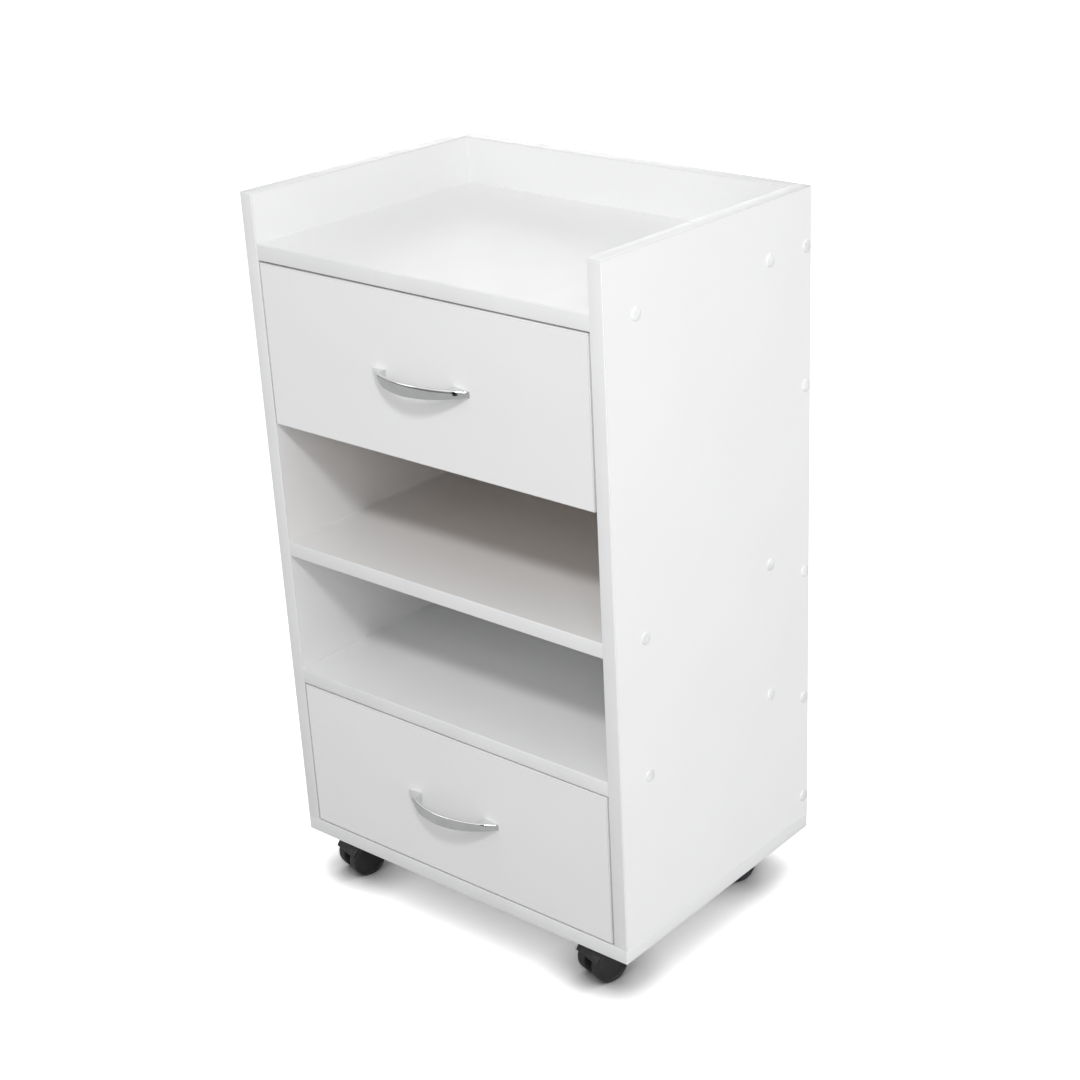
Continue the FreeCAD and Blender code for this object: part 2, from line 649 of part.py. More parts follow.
def make_ball_cages(drawer):
    """Outer cages run behind the middle rail's flanges, inner cages at its front, above and below."""
    half = value(BALL_ROOM) / 2
    outer = value(MIDDLE_REACH) + half
    inner = value(DRAWER_REACH) + half
    middle_of_flange = (value(MIDDLE_BACK) + size_of("slide_flange")) / 2 + size_of("slide_sheet") / 2
    start = value(FRONT) + value(SLIDE_SETBACK)
    end_gap = size_of("ball_pitch") / 2
    rows = (
        (outer, start + value(SLIDE_LENGTH) - size_of("ball_pitch") * size_of("ball_count") - end_gap),
        (inner, start + end_gap),
    )
    level = value(slide_height(drawer))
    placements = []
    for _, sign in SIDES:
        x = sign * (value(HALF_INSIDE) - middle_of_flange)
        for reach, y in rows:
            for up in (-1, 1):
                placements.append(Placement(Vector(x, y, level + up * reach), Rotation()))
    computed(f"{drawer}_ball_cages", copies(ball_cage(), placements))


def make_slides(drawer):
    """Cabinet rails, middle rails and drawer rails of one drawer, left and right."""
    flange = "Dims.slide_flange"
    make_rail_pair(f"{drawer}_cabinet_rails", drawer, "0", CABINET_REACH, flange, True)
    make_rail_pair(f"{drawer}_middle_rails", drawer, MIDDLE_BACK, MIDDLE_REACH, flange, False)
    make_rail_pair(f"{drawer}_drawer_rails", drawer, "Dims.slide_thickness", DRAWER_REACH, DRAWER_LIPS, True)
    make_ball_cages(drawer)


# ---- drawers ----------------------------------------------------------------------------------------


def make_front(drawer):
    """The drawer front, banded on all four edges and bored for the handle's screws."""
    level = FRONT_LEVEL[drawer]
    core_width = f"({FRONT_WIDTH} - 2 * Dims.band)"
    core_height = "(Dims.front_height - 2 * Dims.band)"
    left = f"(-1 * {FRONT_WIDTH} / 2)"
    front = board(f"{drawer}_drawer_front", "XZ_Plane", core_width, core_height)
    place(front, f"({left} + Dims.band)", FRONT, f"({level} + Dims.band)")
    middle = f"({core_height} / 2)"
    spots = [(f"({core_width} / 2 + {sign} * Dims.handle_pitch / 2)", middle) for _, sign in SIDES]
    diameter = "Dims.handle_screw + Dims.bore_clearance"
    bore(front, "handle_holes", "XZ_Plane", "0", spots, diameter, None, False)
    band = "Dims.band"
    top = f"({level} + Dims.front_height - Dims.band)"
    right = f"({FRONT_WIDTH} / 2 - Dims.band)"
    above = f"({level} + Dims.band)"
    bands = [
        box(f"{drawer}_band_low", left, FRONT, level, FRONT_WIDTH, "Dims.panel", band),
        box(f"{drawer}_band_high", left, FRONT, top, FRONT_WIDTH, "Dims.panel", band),
        box(f"{drawer}_band_left", left, FRONT, above, band, "Dims.panel", core_height),
        box(f"{drawer}_band_right", right, FRONT, above, band, "Dims.panel", core_height),
    ]
    group(f"{drawer}_front_bands", bands)


def box_screw_heights():
    """Heights of a drawer box's screws above its lower edge."""
    return "Dims.box_screw_inset", "(Dims.box_height - Dims.box_screw_inset)"


def make_box(drawer):
    """The drawer box: inner front and back between two sides, and a thin bottom under them."""
    base = f"({FRONT_LEVEL[drawer]} + Dims.box_lift)"
    half = f"({BOX_WIDTH} / 2)"
    thread = "Dims.screw_thread + Dims.bore_clearance"
    depth = "Dims.screw_length - Dims.panel"
    insets = ("(Dims.panel / 2)", f"({BOX_DEPTH} - Dims.panel / 2)")
    for side, sign in SIDES:
        name = f"{drawer}_drawer_{side}_side"
        panel = board(name, "YZ_Plane", BOX_DEPTH, "Dims.box_height")
        place(panel, f"({half} - Dims.panel)" if sign > 0 else f"-{half}", BOX_FRONT, base)
        outer = "Dims.panel" if sign > 0 else "0"
        spots = [(y, z) for y in insets for z in box_screw_heights()]
        shank = "Dims.screw_shank + Dims.bore_clearance"
        head = "Dims.screw_head + Dims.bore_clearance"
        bore(panel, "screw_holes", "YZ_Plane", "0", spots, shank, None, True)
        recess = "Dims.head_sink + Dims.screw_head_height"
        bore(panel, "head_recesses", "YZ_Plane", outer, spots, head, recess, sign < 0)
        pilots = [(f"({y} - Dims.panel)", "(Dims.box_height / 2)") for y in rail_screw_spots()]
        pilot = "Dims.small_screw + Dims.bore_clearance"
        bore(panel, "rail_pilots", "YZ_Plane", outer, pilots, pilot, "Dims.small_screw_length", sign < 0)
    ends = (("inner_front", BOX_FRONT), ("back", f"({BOX_FRONT} + {BOX_DEPTH} - Dims.panel)"))
    for end, y in ends:
        panel = board(f"{drawer}_drawer_{end}", "XZ_Plane", BOX_INSIDE, "Dims.box_height")
        place(panel, f"(-1 * {BOX_INSIDE} / 2)", y, base)
        spots = [("Dims.panel / 2", z) for z in box_screw_heights()]
        bore(panel, "left_pilots", "YZ_Plane", "0", spots, thread, depth, True)
        bore(panel, "right_pilots", "YZ_Plane", BOX_INSIDE, spots, thread, depth, False)
        if end == "inner_front":
            height = "(Dims.front_height / 2 - Dims.box_lift)"
            holes = [(f"({BOX_INSIDE} / 2 + {sign} * Dims.handle_pitch / 2)", height) for _, sign in SIDES]
            diameter = "Dims.handle_screw + Dims.bore_clearance"
            bore(panel, "handle_holes", "XZ_Plane", "0", holes, diameter, None, False)
    bottom = board(f"{drawer}_drawer_bottom", "XY_Plane", BOX_WIDTH, BOX_DEPTH, "Dims.box_bottom")
    place(bottom, f"-{half}", BOX_FRONT, f"({base} - Dims.box_bottom)")


def make_drawer_fasteners(drawer):
    """The box's panel screws, the drawer rails' screws and the handle's screws."""
    base = value(f"{FRONT_LEVEL[drawer]} + Dims.box_lift")
    box_front = value(BOX_FRONT)
    half = value(BOX_WIDTH) / 2
    middle = size_of("panel") / 2
    box_screws = []
    rail_screws = []
    for _, sign in SIDES:
        for y in (box_front + middle, box_front + value(BOX_DEPTH) - middle):
            for z in box_screw_heights():
                box_screws.append(aimed(sign * half, y, base + value(z), (-sign, 0, 0)))
        for y in rail_screw_spots():
            x = sign * (half + size_of("slide_sheet"))
            rail_screws.append(aimed(x, value(FRONT) + value(y), value(slide_height(drawer)), (-sign, 0, 0)))
    computed(f"{drawer}_box_screws", copies(panel_screw(), box_screws))
    computed(f"{drawer}_rail_screws", copies(small_screw(), rail_screws))
    length = 2 * size_of("panel") + size_of("handle_screw_bite")
    screw = round_head_screw(
        size_of("handle_screw"), length, size_of("handle_screw_head"), size_of("handle_screw_head_height")
    )
    height = value(f"{FRONT_LEVEL[drawer]} + Dims.front_height / 2")
    inside = box_front + size_of("panel")
    reach = size_of("handle_pitch") / 2
    spots = [aimed(sign * reach, inside, height, (0, -1, 0)) for _, sign in SIDES]
    computed(f"{drawer}_handle_screws", copies(screw, spots))


def bow_radius():
    """Radius of the outside of the handle's bow, from its length and reach."""
    return "((Dims.handle_length ^ 2 / 4 + Dims.handle_reach ^ 2) / (2 * Dims.handle_reach))"


def bow_profile(sketch):
    """The handle seen from above: a bow of even thickness that ends in two solid feet on the drawer front."""
    half = size_of("handle_length") / 2
    reach = size_of("handle_reach")
    radius = value(bow_radius())
    centre = radius - reach
    inner_radius = radius - size_of("handle_strap")
    foot = "((Dims.handle_pitch - Dims.handle_post) / 2)"
    x = value(foot)
    y = centre - math.sqrt(inner_radius ** 2 - x ** 2)
    outer = Part.Arc(Vector(-half, 0, 0), Vector(0, -reach, 0), Vector(half, 0, 0))
    inner = Part.Arc(Vector(-x, y, 0), Vector(0, centre - inner_radius, 0), Vector(x, y, 0))
    sketch.addGeometry(outer, False)
    sketch.addGeometry(Part.LineSegment(Vector(half, 0, 0), Vector(x, 0, 0)), False)
    sketch.addGeometry(Part.LineSegment(Vector(x, 0, 0), Vector(x, y, 0)), False)
    sketch.addGeometry(inner, False)
    sketch.addGeometry(Part.LineSegment(Vector(-x, y, 0), Vector(-x, 0, 0)), False)
    sketch.addGeometry(Part.LineSegment(Vector(-x, 0, 0), Vector(-half, 0, 0)), False)
    arc_start, arc_end, arc_centre = 1, 2, 3
    joins = ((0, arc_end, 1, 1), (1, 2, 2, 1), (2, 2, 3, arc_end), (3, arc_start, 4, 1), (4, 2, 5, 1))
    for join in joins + ((5, 2, 0, arc_start),):
        sketch.addConstraint(Sketcher.Constraint("Coincident", *join))
    for line in (1, 5):
        sketch.addConstraint(Sketcher.Constraint("Horizontal", line))
    for line in (2, 4):
        sketch.addConstraint(Sketcher.Constraint("Vertical", line))
    sketch.addConstraint(Sketcher.Constraint("Coincident", 0, arc_centre, 3, arc_centre))
    sketch.addConstraint(Sketcher.Constraint("PointOnObject", 0, arc_centre, -2))
    pin(sketch, 1, 1, "X", "Dims.handle_length / 2")
    pin(sketch, 1, 1, "Y", "0")
    pin(sketch, 5, 2, "Y", "0")
    pin(sketch, 2, 1, "X", foot)
    pin(sketch, 4, 2, "X", f"(-1 * {foot})")
    size_constraint(sketch, "Radius", 0, "bow", bow_radius())
    size_constraint(sketch, "Radius", 3, "inside", f"({bow_radius()} - Dims.handle_strap)")


def leaf_outline(sketch):
    """The handle seen from the front: high in the middle, low at the tips, inside a larger rectangle."""
    half = size_of("handle_length") / 2
    tip = size_of("handle_tip") / 2
    middle = size_of("handle_middle") / 2
    rise = "((Dims.handle_middle - Dims.handle_tip) / 2)"
    radius = f"((Dims.handle_length ^ 2 / 4 + {rise} ^ 2) / (2 * {rise}))"
    sketch.addGeometry(Part.Arc(Vector(half, tip, 0), Vector(0, middle, 0), Vector(-half, tip, 0)), False)
    sketch.addGeometry(Part.LineSegment(Vector(-half, tip, 0), Vector(-half, -tip, 0)), False)
    sketch.addGeometry(Part.Arc(Vector(-half, -tip, 0), Vector(0, -middle, 0), Vector(half, -tip, 0)), False)
    sketch.addGeometry(Part.LineSegment(Vector(half, -tip, 0), Vector(half, tip, 0)), False)
    for join in ((0, 2, 1, 1), (1, 2, 2, 1), (2, 2, 3, 1), (3, 2, 0, 1)):
        sketch.addConstraint(Sketcher.Constraint("Coincident", *join))
    pin(sketch, 1, 1, "X", "(-1 * Dims.handle_length / 2)")
    pin(sketch, 1, 1, "Y", "(Dims.handle_tip / 2)")
    pin(sketch, 1, 2, "X", "(-1 * Dims.handle_length / 2)")
    pin(sketch, 1, 2, "Y", "(-1 * Dims.handle_tip / 2)")
    pin(sketch, 3, 1, "X", "(Dims.handle_length / 2)")
    pin(sketch, 3, 1, "Y", "(-1 * Dims.handle_tip / 2)")
    pin(sketch, 3, 2, "X", "(Dims.handle_length / 2)")
    pin(sketch, 3, 2, "Y", "(Dims.handle_tip / 2)")
    size_constraint(sketch, "Radius", 0, "upper", radius)
    size_constraint(sketch, "Radius", 2, "lower", radius)
    wide = "Dims.handle_length"
    high = "Dims.handle_middle"
    left = f"(-1 * {wide})"
    low = f"(-1 * {high})"
    outline(sketch, ((left, low), (wide, low), (wide, high), (left, high)))


def long_edges(shape, length):
    """Names of the edges longer than a length."""
    return [f"Edge{i}" for i, edge in enumerate(shape.Edges, start=1) if edge.Length > length]


def make_handle(drawer):
    """A bow handle, cast in one piece with its feet and tapped for its two screws."""
    body = new_body(f"{drawer}_handle")
    profile = sketch_on(body, f"{body.Name}_bow", "XY_Plane")
    bow_profile(profile)
    pad(body, profile, "Dims.handle_middle", midplane=True)
    leaf = sketch_on(body, f"{body.Name}_leaf", "XZ_Plane")
    leaf_outline(leaf)
    cut(body, leaf, midplane=True)
    round_off(body, long_edges(body.Tip.Shape, size_of("handle_pitch") / 2), "Dims.handle_round")
    spots = [(f"({sign} * Dims.handle_pitch / 2)", "0") for _, sign in SIDES]
    diameter = "Dims.handle_screw + Dims.bore_clearance"
    depth = "Dims.handle_screw_bite + Dims.bore_clearance"
    bore(body, "screw_holes", "XZ_Plane", "0", spots, diameter, depth, True)
    place(body, "0", FRONT, f"({FRONT_LEVEL[drawer]} + Dims.front_height / 2)")
    keep(body)


# ---- castors ----------------------------------------------------------------------------------------


def castor_frame(x, y):
    """The resting frame of a castor: on the floor under its swivel axis, turned to its resting angle."""
    return Placement(Vector(value(x), value(y), 0), Rotation(Vector(0, 0, 1), size_of("castor_turn")))


def cylinder(name, radius, height, placement, sweep=None):
    """A cylinder primitive, or a sector of one, tied to expressions."""
    shape = doc.addObject("Part::Cylinder", name)
    shape.setExpression("Radius", radius)
    shape.setExpression("Height", height)
    if sweep is not None:
        shape.setExpression("Angle", sweep)
    shape.Placement = placement
    return shape


def across_axle(width, turn=0.0):
    """A placement along the axle, centred on the hood and turned about the axle, at the wheels' centre."""
    lie_down = Rotation(Vector(0, 1, 0), Vector(0, 0, 1), Vector(1, 0, 0), "ZXY")
    spin = Rotation(Vector(1, 0, 0), turn)
    centre = Vector(-width / 2, -size_of("castor_trail"), size_of("wheel_diameter") / 2)
    return Placement(centre, spin.multiply(lie_down))


def fused(name, shapes):
    """A union of primitives."""
    union = doc.addObject("Part::MultiFuse", name)
    union.Shapes = shapes
    return union


def make_hood(corner, frame):
    """The castor's hood: a canopy over both wheels, the web between them, the axle hub and the stem boss."""
    name = f"{corner}_castor_hood"
    start = size_of("hood_start")
    outer = "(Dims.wheel_diameter / 2 + Dims.hood_gap + Dims.hood_sheet)"
    inner = "(Dims.wheel_diameter / 2 + Dims.hood_gap)"
    width = "(Dims.castor_core + 2 * (Dims.castor_play + Dims.wheel_width))"
    sweep = "Dims.hood_sweep"
    roof = cylinder(f"{name}_roof", outer, width, across_axle(value(width), start), sweep)
    room = cylinder(f"{name}_room", inner, width, across_axle(value(width)))
    canopy = doc.addObject("Part::Cut", f"{name}_canopy")
    canopy.Base = roof
    canopy.Tool = room
    core = "Dims.castor_core"
    web = cylinder(f"{name}_web", outer, core, across_axle(value(core), start), sweep)
    hub = cylinder(f"{name}_hub", "Dims.hood_hub / 2", core, across_axle(value(core)))
    stem_foot = f"({CASTOR_HEIGHT} - Dims.castor_plate_sheet - Dims.castor_stem_length)"
    floor_of_boss = value(f"{stem_foot} - Dims.castor_core / 2")
    under_ring = f"({HOOD_TOP} + Dims.hood_headroom - Dims.castor_play)"
    boss_height = f"({under_ring} - ({stem_foot} - Dims.castor_core / 2))"
    boss_foot = Placement(Vector(0, 0, floor_of_boss), Rotation())
    boss = cylinder(f"{name}_boss", "Dims.castor_core / 2", boss_height, boss_foot)
    solid = fused(f"{name}_solid", [canopy, web, hub, boss])
    axle_radius = "(Dims.axle_width + Dims.bore_clearance) / 2"
    axle = cylinder(f"{name}_axle_bore", axle_radius, core, across_axle(value(core)))
    bore_foot = value(f"{stem_foot} - Dims.castor_play")
    socket = cylinder(
        f"{name}_stem_bore",
        "(Dims.castor_stem + Dims.bore_clearance) / 2",
        "Dims.castor_stem_length",
        Placement(Vector(0, 0, bore_foot), Rotation()),
    )
    hood = doc.addObject("Part::Cut", name)
    hood.Base = solid
    hood.Tool = fused(f"{name}_bores", [axle, socket])
    hood.Placement = frame
    keep(hood)


def make_axle(corner, frame):
    """The steel pin that both wheels turn on."""
    end = "(Dims.castor_play + Dims.wheel_width - Dims.axle_end)"
    width = f"(Dims.castor_core + 2 * {end})"
    axle = cylinder(f"{corner}_castor_axle", "Dims.axle_width / 2", width, Placement())
    axle.Placement = frame.multiply(across_axle(value(width)))
    keep(axle)


def make_wheel(corner, side, sign, frame):
    """One castor wheel, turned: rounded tread, dished outer face, hub bored for the axle."""
    body = new_body(f"{corner}_{side}_wheel")
    radius = "(Dims.wheel_diameter / 2)"
    bore_radius = "((Dims.axle_width + Dims.bore_clearance) / 2)"
    rim = f"({radius} - Dims.wheel_rim)"
    hub = "(Dims.wheel_hub / 2)"
    wide = "Dims.wheel_width"
    dish = "(Dims.wheel_width - Dims.wheel_dish)"
    section = sketch_on(body, f"{body.Name}_section", "XY_Plane")
    outline(
        section,
        (
            ("0", bore_radius),
            ("0", radius),
            (wide, radius),
            (wide, rim),
            (dish, f"({rim} - Dims.wheel_dish / 2)"),
            (dish, f"({hub} + Dims.wheel_dish / 2)"),
            (wide, hub),
            (wide, bore_radius),
        ),
    )
    turned = body.newObject("PartDesign::Revolution", f"{body.Name}_turned")
    turned.Profile = section
    turned.ReferenceAxis = (section, ["H_Axis"])
    doc.recompute()
    tread = [
        f"Edge{i}"
        for i, edge in enumerate(body.Tip.Shape.Edges, start=1)
        if isinstance(edge.Curve, Part.Circle) and abs(edge.Curve.Radius - value(radius)) < 1e-6
    ]
    round_off(body, tread, "Dims.wheel_round")
    inside = sign * (size_of("castor_core") / 2 + size_of("castor_play"))
    centre = Vector(inside, -size_of("castor_trail"), size_of("wheel_diameter") / 2)
    outward = Rotation() if sign > 0 else Rotation(Vector(0, 0, 1), 180)
    body.Placement = frame.multiply(Placement(centre, outward))
    keep(body)


def make_castor_plates():
    """Four plates, each with its bearing ring, riveted stem and screw holes."""
    side = size_of("castor_plate")
    sheet_size = size_of("castor_plate_sheet")
    top = value(CASTOR_HEIGHT)
    plate = Part.makeBox(side, side, sheet_size, Vector(-side / 2, -side / 2, top - sheet_size))
    corners = [edge for edge in plate.Edges if abs(edge.BoundBox.ZLength - sheet_size) < 1e-6]
    plate = plate.makeFillet(size_of("castor_screw_inset") - size_of("castor_plate_sheet"), corners)
    ring_height = size_of("castor_ring_height")
    ring_foot = Vector(0, 0, top - sheet_size - ring_height)
    ring = Part.makeCylinder(size_of("castor_ring") / 2, ring_height, ring_foot)
    stem_length = size_of("castor_stem_length")
    stem_foot = Vector(0, 0, top - sheet_size - stem_length)
    stem = Part.makeCylinder(size_of("castor_stem") / 2, stem_length, stem_foot)
    reach = side / 2 - size_of("castor_screw_inset")
    hole = (size_of("small_screw") + size_of("bore_clearance")) / 2
    holes = [
        Part.makeCylinder(hole, sheet_size, Vector(i * reach, j * reach, top - sheet_size))
        for i in (-1, 1)
        for j in (-1, 1)
    ]
    plate = plate.fuse([ring, stem]).cut(Part.makeCompound(holes)).removeSplitter()
    axes = [Placement(Vector(value(x), value(y), 0), Rotation()) for _, x, y in castor_axes()]
    computed("castor_plates", copies(plate, axes))
    face = top - sheet_size
    screws = [aimed(value(x), value(y), face, (0, 0, 1)) for x, y in castor_screw_spots()]
    computed("castor_screws", copies(small_screw(), screws))


def make_castors():
    """Four swivelling castors with two wheels each."""
    make_castor_plates()
    for corner, x, y in castor_axes():
        frame = castor_frame(x, y)
        make_hood(corner, frame)
        make_axle(corner, frame)
        for side, sign in SIDES:
            make_wheel(corner, side, sign, frame)


# ---- whole ------------------------------------------------------------------------------------------


def make_carcass():
    """Boards, banding and fasteners of the cabinet."""
    for side, sign in SIDES:
        make_side_panel(side, sign)
    make_back_panel()
    make_shelf("top_board", TOP_BOARD)
    make_shelf("middle_shelf", MIDDLE_SHELF)
    make_shelf("lower_shelf", LOWER_SHELF)
    make_bottom_board()
    make_carcass_bands()
    make_carcass_fasteners()


def make_drawer(drawer):
    """One drawer with its slides and handle."""
    make_slides(drawer)
    make_front(drawer)
    make_box(drawer)
    make_drawer_fasteners(drawer)
    make_handle(drawer)


def write_parts():
    """Checks every object and writes each sub-part to its own file."""
    doc.recompute()
    for thing in doc.Objects:
        if "Invalid" in thing.State or "Error" in thing.State:
            raise RuntimeError(f"{thing.Name} failed: {thing.State}")
    for part in parts:
        if part.Shape.isNull() or not part.Shape.isValid() or not part.Shape.Solids:
            raise RuntimeError(f"{part.Label} has no valid solid")
    os.makedirs("parts", exist_ok=True)
    for part in parts:
        part.Shape.exportStep(f"parts/{part.Label}.step")
    print(f"{len(parts)} parts written")


fill_sheet()
make_carcass()
for drawer_name in DRAWERS:
    make_drawer(drawer_name)
make_castors()
write_parts()
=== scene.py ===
"""Looks of the manicure table: finishes, rounded edge banding, handles, fasteners, castors and the studio.

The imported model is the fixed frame. Boards, slides and plates keep their own meshes and get their finishes
here. Pieces whose shape needs more than the frame holds are built again from the frame's own boxes and
joints: the banding with its rounded arrises, the cast handles, the screws with their recesses, the cover
caps and the castors. Metres, +Z up, drawer fronts towards -Y.
"""

from __future__ import annotations

import json
import logging
import math
from dataclasses import dataclass
from enum import Enum
from typing import Any, Callable, Sequence

import bmesh
import bpy
from mathutils import Matrix, Vector

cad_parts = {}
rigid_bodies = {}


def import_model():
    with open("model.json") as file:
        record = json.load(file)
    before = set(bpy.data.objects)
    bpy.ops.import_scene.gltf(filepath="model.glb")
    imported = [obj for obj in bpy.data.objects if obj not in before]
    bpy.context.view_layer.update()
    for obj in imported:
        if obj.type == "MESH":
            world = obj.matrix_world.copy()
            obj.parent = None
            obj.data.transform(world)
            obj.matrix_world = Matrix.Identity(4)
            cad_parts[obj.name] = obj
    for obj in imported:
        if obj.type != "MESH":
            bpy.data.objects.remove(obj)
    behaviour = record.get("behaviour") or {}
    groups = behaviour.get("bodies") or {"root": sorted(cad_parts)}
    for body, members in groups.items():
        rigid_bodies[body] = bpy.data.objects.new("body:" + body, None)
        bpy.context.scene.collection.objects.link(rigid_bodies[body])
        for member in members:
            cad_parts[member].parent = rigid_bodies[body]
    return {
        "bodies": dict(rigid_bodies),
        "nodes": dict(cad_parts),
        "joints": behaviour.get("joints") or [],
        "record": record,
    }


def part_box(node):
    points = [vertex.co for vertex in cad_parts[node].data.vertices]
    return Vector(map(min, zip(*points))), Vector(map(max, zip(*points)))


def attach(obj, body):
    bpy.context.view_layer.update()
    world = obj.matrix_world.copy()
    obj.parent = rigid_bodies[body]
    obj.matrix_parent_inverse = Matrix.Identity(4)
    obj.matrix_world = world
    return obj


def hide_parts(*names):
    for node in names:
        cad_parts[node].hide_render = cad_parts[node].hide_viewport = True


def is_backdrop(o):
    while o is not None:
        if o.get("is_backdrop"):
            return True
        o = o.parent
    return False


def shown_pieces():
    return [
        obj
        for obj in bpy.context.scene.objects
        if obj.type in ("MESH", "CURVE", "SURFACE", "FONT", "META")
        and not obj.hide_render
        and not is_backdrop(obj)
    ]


LOG = logging.getLogger("manicure_table")
MM = 0.001

Colour = tuple[float, float, float]
Ring = list[Vector]


class Axis(Enum):
    """A direction of the frame."""

    X = (1.0, 0.0, 0.0)
    Y = (0.0, 1.0, 0.0)
    Z = (0.0, 0.0, 1.0)

    def vector(self, sign: int = 1) -> Vector:
        """The unit vector along the axis or against it."""
        return Vector(self.value) * sign


class Slot(Enum):
    """The record's material slots that rebuilt pieces take their finish from."""

    EDGE_BAND = "edge_band"
    SCREW_CAP = "screw_cap"
    CHROME = "chrome"
    ZINC_SCREW = "zinc_screw"
    BLACK_PLASTIC = "black_plastic"
    BLACK_WHEEL = "black_wheel"


class Drawer(Enum):
    """The two drawers."""

    UPPER = "upper"
    LOWER = "lower"


class Driven(Enum):
    """The way that a set of screws is driven."""

    OUTWARDS = "outwards"
    INWARDS = "inwards"
    UPWARDS = "upwards"
    FORWARDS = "forwards"

    def direction(self, side: int) -> Vector:
        """The direction from one screw's head to its tip.

        Args:
            side: 1 for a screw right of the middle and -1 for one left of it.

        Returns:
            A unit vector.
        """
        if self is Driven.UPWARDS:
            return Axis.Z.vector()
        if self is Driven.FORWARDS:
            return Axis.Y.vector(-1)
        return Axis.X.vector(side if self is Driven.OUTWARDS else -side)


# ---- shader graphs ----------------------------------------------------------------------------------


class Graph:
    """Adds nodes to one node tree and joins them."""

    def __init__(self, tree: bpy.types.NodeTree) -> None:
        """Starts with an empty tree.

        Args:
            tree: The node tree to fill.
        """
        self.tree = tree
        tree.nodes.clear()

    def node(self, kind: str, feeds: dict[Any, Any] | None = None, **settings: Any) -> bpy.types.Node:
        """Adds a node.

        Args:
            kind: Blender's name for the node type.
            feeds: Values or sockets for its inputs, by name or number.
            settings: Attributes of the node.

        Returns:
            The new node.
        """
        made = self.tree.nodes.new(kind)
        for name, setting in settings.items():
            setattr(made, name, setting)
        for name, value in (feeds or {}).items():
            self.feed(made.inputs[name], value)
        return made

    def feed(self, socket: bpy.types.NodeSocket, value: Any) -> None:
        """Joins a socket to another or sets its own value.

        Args:
            socket: The input socket.
            value: An output socket, or a plain value.
        """
        if isinstance(value, bpy.types.NodeSocket):
            self.tree.links.new(value, socket)
        else:
            socket.default_value = value

    def math(self, operation: str, first: Any, second: Any = 0.0) -> bpy.types.NodeSocket:
        """One arithmetic step.

        Args:
            operation: Blender's name for the operation.
            first: Value or socket.
            second: Value or socket.

        Returns:
            The result's socket.
        """
        return self.node("ShaderNodeMath", {0: first, 1: second}, operation=operation).outputs[0]

    def span(
        self, value: Any, low: float, high: float, start: float = 0.0, end: float = 1.0
    ) -> bpy.types.NodeSocket:
        """Maps low..high to start..end, clamped."""
        feeds = {"Value": value, "From Min": low, "From Max": high, "To Min": start, "To Max": end}
        return self.node("ShaderNodeMapRange", feeds).outputs[0]

    def blend(self, share: Any, first: Any, second: Any) -> bpy.types.NodeSocket:
        """Mixes two colours.

        Args:
            share: How much of the second, 0 to 1.
            first: Colour or socket.
            second: Colour or socket.

        Returns:
            The mixed colour's socket.
        """
        mix = self.node("ShaderNodeMix", data_type="RGBA")
        self.feed(mix.inputs[0], share)
        self.feed(mix.inputs[6], first if isinstance(first, bpy.types.NodeSocket) else (*first, 1.0))
        self.feed(mix.inputs[7], second if isinstance(second, bpy.types.NodeSocket) else (*second, 1.0))
        return mix.outputs[2]

    def place(self, stretch: tuple[float, float, float] = (1.0, 1.0, 1.0)) -> bpy.types.NodeSocket:
        """Object coordinates, stretched along the axes."""
        where = self.node("ShaderNodeTexCoord").outputs["Object"]
        return self.node("ShaderNodeMapping", {"Vector": where, "Scale": stretch}).outputs[0]

    def noise(self, scale: Any, detail: float = 3.0, where: Any = None) -> bpy.types.NodeSocket:
        """Soft noise in object coordinates, features per metre.

        Args:
            scale: Features per metre, or a socket.
            detail: Octaves.
            where: Coordinates, or none for plain object coordinates.

        Returns:
            The noise's socket, about 0 to 1.
        """
        feeds = {"Vector": self.place() if where is None else where, "Scale": scale, "Detail": detail}
        return self.node("ShaderNodeTexNoise", feeds).outputs[0]


class Effect:
    """A shader node group, built once, that several finishes share."""

    def __init__(self, name: str, inputs: dict[str, float], outputs: dict[str, str]) -> None:
        """Makes the group with its sockets.

        Args:
            name: The group's name.
            inputs: Input names with their first values.
            outputs: Output names with their kinds, Float or Color.
        """
        self.tree = bpy.data.node_groups.new(name, "ShaderNodeTree")
        self.graph = Graph(self.tree)
        for label, first in inputs.items():
            socket = self.tree.interface.new_socket(label, in_out="INPUT", socket_type="NodeSocketFloat")
            socket.default_value = first
        for label, kind in outputs.items():
            self.tree.interface.new_socket(label, in_out="OUTPUT", socket_type=f"NodeSocket{kind}")
        self.inputs = self.graph.node("NodeGroupInput").outputs
        self.results = self.graph.node("NodeGroupOutput").inputs

    def give(self, **results: Any) -> bpy.types.NodeTree:
        """Feeds the group's outputs.

        Args:
            results: A socket for each output, by the output's name.

        Returns:
            The finished group.
        """
        for label, value in results.items():
            self.graph.feed(self.results[label], value)
        return self.tree


def moulded_skin() -> bpy.types.NodeTree:
    """Orange peel and fine texture of a pressed or moulded surface.

    Returns:
        The group.
    """
    effect = Effect("moulded_skin", {"Coarse": 300.0, "Fine": 2500.0}, {"Height": "Float"})
    graph = effect.graph
    coarse = graph.noise(effect.inputs["Coarse"], 2.0)
    fine = graph.noise(effect.inputs["Fine"], 2.0)
    return effect.give(Height=graph.math("ADD", coarse, graph.math("MULTIPLY", fine, 0.3)))


